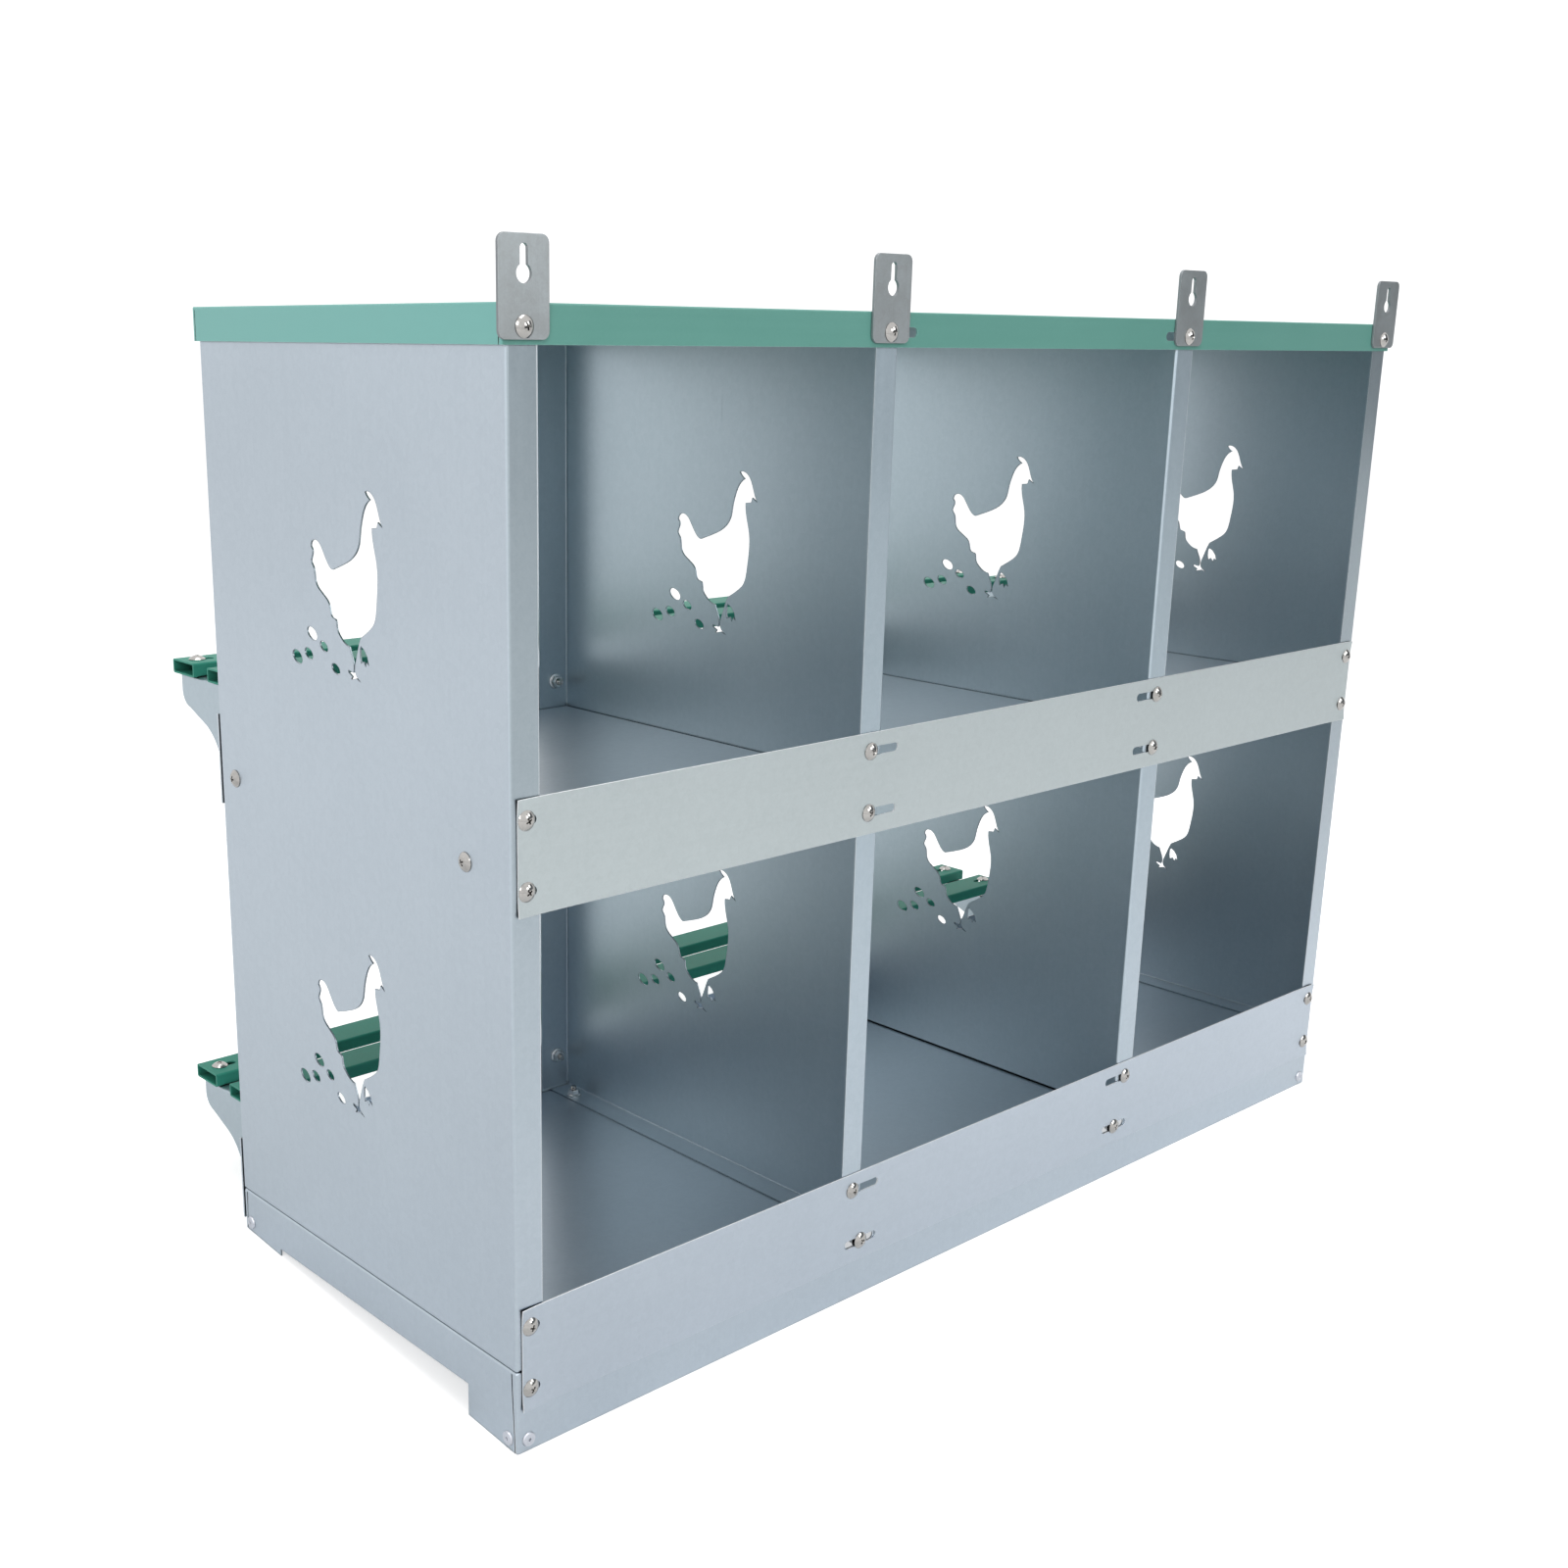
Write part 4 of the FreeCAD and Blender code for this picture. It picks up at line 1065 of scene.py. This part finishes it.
@dataclass
class CornerRivets:
    """Pulled rivets in the feet, with the dimple that the mandrel left."""

    layout: Layout
    head: float = 4.75 * MM
    head_height: float = 1.5 * MM
    dimple: float = 1.1 * MM
    dimple_depth: float = 1.1 * MM
    shank: float = 2.4 * MM
    tail: float = 3.5 * MM
    tail_height: float = 2.2 * MM
    inset: float = 8.8 * MM
    rise: float = 6.0 * MM
    lip: float = 0.1 * MM
    dimple_shape: Pair = (0.7, 1.2)        # shares of its radius: at its floor, at its mouth
    dome: tuple[Pair, ...] = ((0.72, 0.12 * MM), (0.9, 0.38 * MM))    # share of the head, drop
    tail_round: float = 0.6
    finish: TurnedMetal = TurnedMetal("aluminium_rivet", "#d9dce4", "#7f848b", 0.33)

    def rivet(self) -> Mesh:
        """Rivet along +Z with its head's underside on z = 0.

        Returns:
            The rivet's mesh.
        """
        grip = 2 * self.layout.sheet
        top = -self.head_height
        base, mouth = self.dimple_shape
        profile = [(0, top + self.dimple_depth), (base * self.dimple, top + self.dimple_depth),
                   (self.dimple, top + self.lip), (mouth * self.dimple, top)]
        profile += [(share * self.head, top + drop) for share, drop in self.dome]
        profile += [(self.head, -self.lip), (self.head - self.lip, 0), (self.shank, 0),
                    (self.shank, grip), (self.tail, grip),
                    (self.tail, grip + self.tail_round * self.tail_height),
                    (self.tail_round * self.tail, grip + self.tail_height),
                    (0, grip + self.tail_height)]
        return clean(revolved(profile, SPIN_STEPS), "rivet")

    def build(self) -> None:
        """Builds and dresses the rivets of all four feet."""
        box, inset = self.layout, self.inset
        rear_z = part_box("corner_angle_rear_right")[0].z + self.rise
        front_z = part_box("corner_angle_front_right")[0].z + self.rise
        spots = [((box.half_width, box.rear - inset, rear_z), (-1, 0, 0)),
                 ((box.half_width - inset, box.rear, rear_z), (0, -1, 0)),
                 ((box.half_width, box.front + inset, front_z), (-1, 0, 0))]
        rivet, copies = self.rivet(), []
        for side in (-1, 1):
            flip = Vector((side, 1, 1))
            for point, inward in spots:
                place = Matrix.Translation(Vector(point) * flip) @ pointed(Vector(inward) * flip)
                copies.append((rivet, place))
        show(planted(copies, "pulled_foot_rivets"), self.finish.material(), "rivet_aluminium",
             "corner_rivets")


# Studio


@dataclass(frozen=True)
class Softbox:
    """Square soft lamp that points at the middle of the box."""

    name: str
    place: Triple
    side: float
    watts: float
    diffuse: bool = True         # lights matt surfaces too, not only metal's highlights
    target: Triple = (0.0, 0.0, 0.33)

    def build(self) -> None:
        """Puts the lamp in the scene."""
        data = bpy.data.lights.new(self.name, "AREA")
        data.size, data.energy = self.side, self.watts
        lamp = placed(self.name, data)
        lamp.location = self.place
        lamp.visible_diffuse = self.diffuse
        aim = Vector(self.target) - lamp.location
        lamp.rotation_euler = aim.to_track_quat("-Z", "Y").to_euler()


@dataclass
class Studio:
    """White studio: a pale floor under the feet, soft lamps, a grey card and the camera."""

    layout: Layout
    ambient: float = 0.55        # light from around on the object
    white: float = 1.15          # the same surroundings as the camera and metal see them
    floor_radius: float = 9.0
    floor_drop: float = 0.2 * MM
    front_rise: float = 24.0 * MM
    paper: str = "#f2f2f2"
    paper_glow: float = 0.55     # lifts the floor to white where no shadow falls
    mirror_spot: Triple = (0.8, 0.0, 0.0)
    mirror_reach: float = 1.6
    mirror_glow: Pair = (0.05, 0.40)    # floor as metal sees it: at the spot, beyond
    card: str = "#7c8286"
    card_size: Pair = (3.4, 1.8)
    card_way: Triple = (-0.65, 0.72, 0.0)
    card_distance: float = 2.6
    card_height: float = 1.35
    camera_place: Triple = (1.0285, 0.97923, 0.64685)
    yaw: float = 0.71763
    pitch: float = 0.26763
    roll: float = 0.00902
    lens_mm: float = 41.916
    sensor_mm: float = 36.0
    shift: Pair = (0.090625, 0.0375)
    clip: Pair = (0.05, 50.0)
    lamps: tuple[Softbox, ...] = (
        Softbox("overhead_softbox", (0.3, 0.2, 2.6), 1.7, 26.0),
        Softbox("camera_side_softbox", (2.65, 1.9, 1.9), 1.4, 23.0),
        Softbox("highlight_near", (-0.31, 2.1, 1.2), 0.6, 5.5, diffuse=False),
        Softbox("highlight_far", (-1.0, 1.6, 1.4), 0.6, 5.5, diffuse=False))

    def world(self) -> None:
        """White surroundings that light the object softly."""
        world = bpy.data.worlds.new("white_studio")
        bpy.context.scene.world = world
        world.use_nodes = True
        tree = world.node_tree
        tree.nodes.clear()
        path = add_node(tree, "LightPath").outputs
        seen = reckon(tree, "MAXIMUM", path["Is Camera Ray"], path["Is Glossy Ray"])
        seen = reckon(tree, "MAXIMUM", seen, path["Is Transmission Ray"])
        strength = ramp(tree, seen, 0.0, 1.0, self.ambient, self.white)
        sky = add_node(tree, "Background", {}, {"Color": (1, 1, 1, 1), "Strength": strength})
        add_node(tree, "OutputWorld", {}, {"Surface": sky.outputs[0]})

    def floor(self) -> None:
        """Pale floor along the plane of the feet, which ends white where no shadow falls."""
        bm = bmesh.new()
        bmesh.ops.create_circle(bm, cap_ends=True, radius=self.floor_radius, segments=96)
        slope = math.atan2(self.front_rise, self.layout.rear - self.layout.front)
        bmesh.ops.rotate(bm, verts=bm.verts[:], matrix=Matrix.Rotation(-slope, 3, "X"))
        bmesh.ops.translate(bm, verts=bm.verts[:],
                            vec=(0, 0, self.layout.rear * math.tan(slope) - self.floor_drop))
        material, tree = bare_material("white_studio_paper")
        paper = add_node(tree, "BsdfDiffuse", {}, {"Color": linear(self.paper)})
        place = add_node(tree, "TexCoord").outputs["Object"]
        reach = add_node(tree, "VectorMath", {"operation": "DISTANCE"},
                         {0: place, 1: self.mirror_spot}).outputs["Value"]
        path = add_node(tree, "LightPath").outputs
        mirrored = reckon(tree, "MULTIPLY", path["Is Glossy Ray"],
                          ramp(tree, reach, 0.0, self.mirror_reach, *self.mirror_glow))
        glow = reckon(tree, "MULTIPLY_ADD", path["Is Camera Ray"], self.paper_glow, mirrored)
        light = add_node(tree, "Emission", {}, {"Strength": glow})
        both = add_node(tree, "AddShader", {}, {0: paper.outputs[0], 1: light.outputs[0]})
        add_node(tree, "OutputMaterial", {}, {"Surface": both.outputs[0]})
        floor = placed("studio_floor", clean(bm, "studio_floor"))
        floor.data.materials.append(material)

    def grey_card(self) -> None:
        """Grey card to one side of the camera, which only shows in polished and satin metal."""
        bm = bmesh.new()
        away = Vector(self.card_way).normalized()
        bmesh.ops.create_grid(bm, size=0.5, matrix=Matrix.Diagonal((*self.card_size, 1, 1)))
        spot = away * self.card_distance + Axis.Z.value * self.card_height
        bmesh.ops.transform(bm, verts=bm.verts[:], matrix=Matrix.Translation(spot) @ pointed(away))
        material, tree = bare_material("dark_grey_card")
        dim = add_node(tree, "Emission", {}, {"Color": linear(self.card), "Strength": 1.0})
        add_node(tree, "OutputMaterial", {}, {"Surface": dim.outputs[0]})
        card = placed("grey_card", clean(bm, "grey_card"))
        card.data.materials.append(material)
        for kind in ("camera", "diffuse", "transmission", "volume_scatter", "shadow"):
            setattr(card, "visible_" + kind, False)

    def camera(self) -> None:
        """Camera at the photograph's viewing angle."""
        turn = Matrix.Rotation(math.pi - self.yaw, 4, "Z")
        turn @= Matrix.Rotation(QUARTER - self.pitch, 4, "X")
        turn @= Matrix.Rotation(self.roll, 4, "Z")
        data = bpy.data.cameras.new("photo_camera")
        data.sensor_width, data.lens = self.sensor_mm, self.lens_mm
        data.shift_x, data.shift_y = self.shift
        data.clip_start, data.clip_end = self.clip
        camera = placed("photo_camera", data)
        camera.matrix_world = Matrix.Translation(self.camera_place) @ turn
        bpy.context.scene.camera = camera

    def build(self) -> None:
        """Builds floor, lights and camera."""
        self.world()
        self.floor()
        for lamp in self.lamps:
            lamp.build()
        self.grey_card()
        self.camera()
        bpy.context.scene.view_settings.view_transform = "Standard"


def main() -> None:
    """Builds the sub-assemblies in order, then the studio."""
    logging.basicConfig(level=logging.INFO, format="%(message)s")
    layout = Layout()
    Carcass().dress()
    Lid().dress()
    Perches().dress()
    LitterRails(layout).build()
    HangerTabs(layout).build()
    Fasteners(layout).build()
    CornerRivets(layout).build()
    Studio(layout).build()


if __name__ == "__main__":
    main()
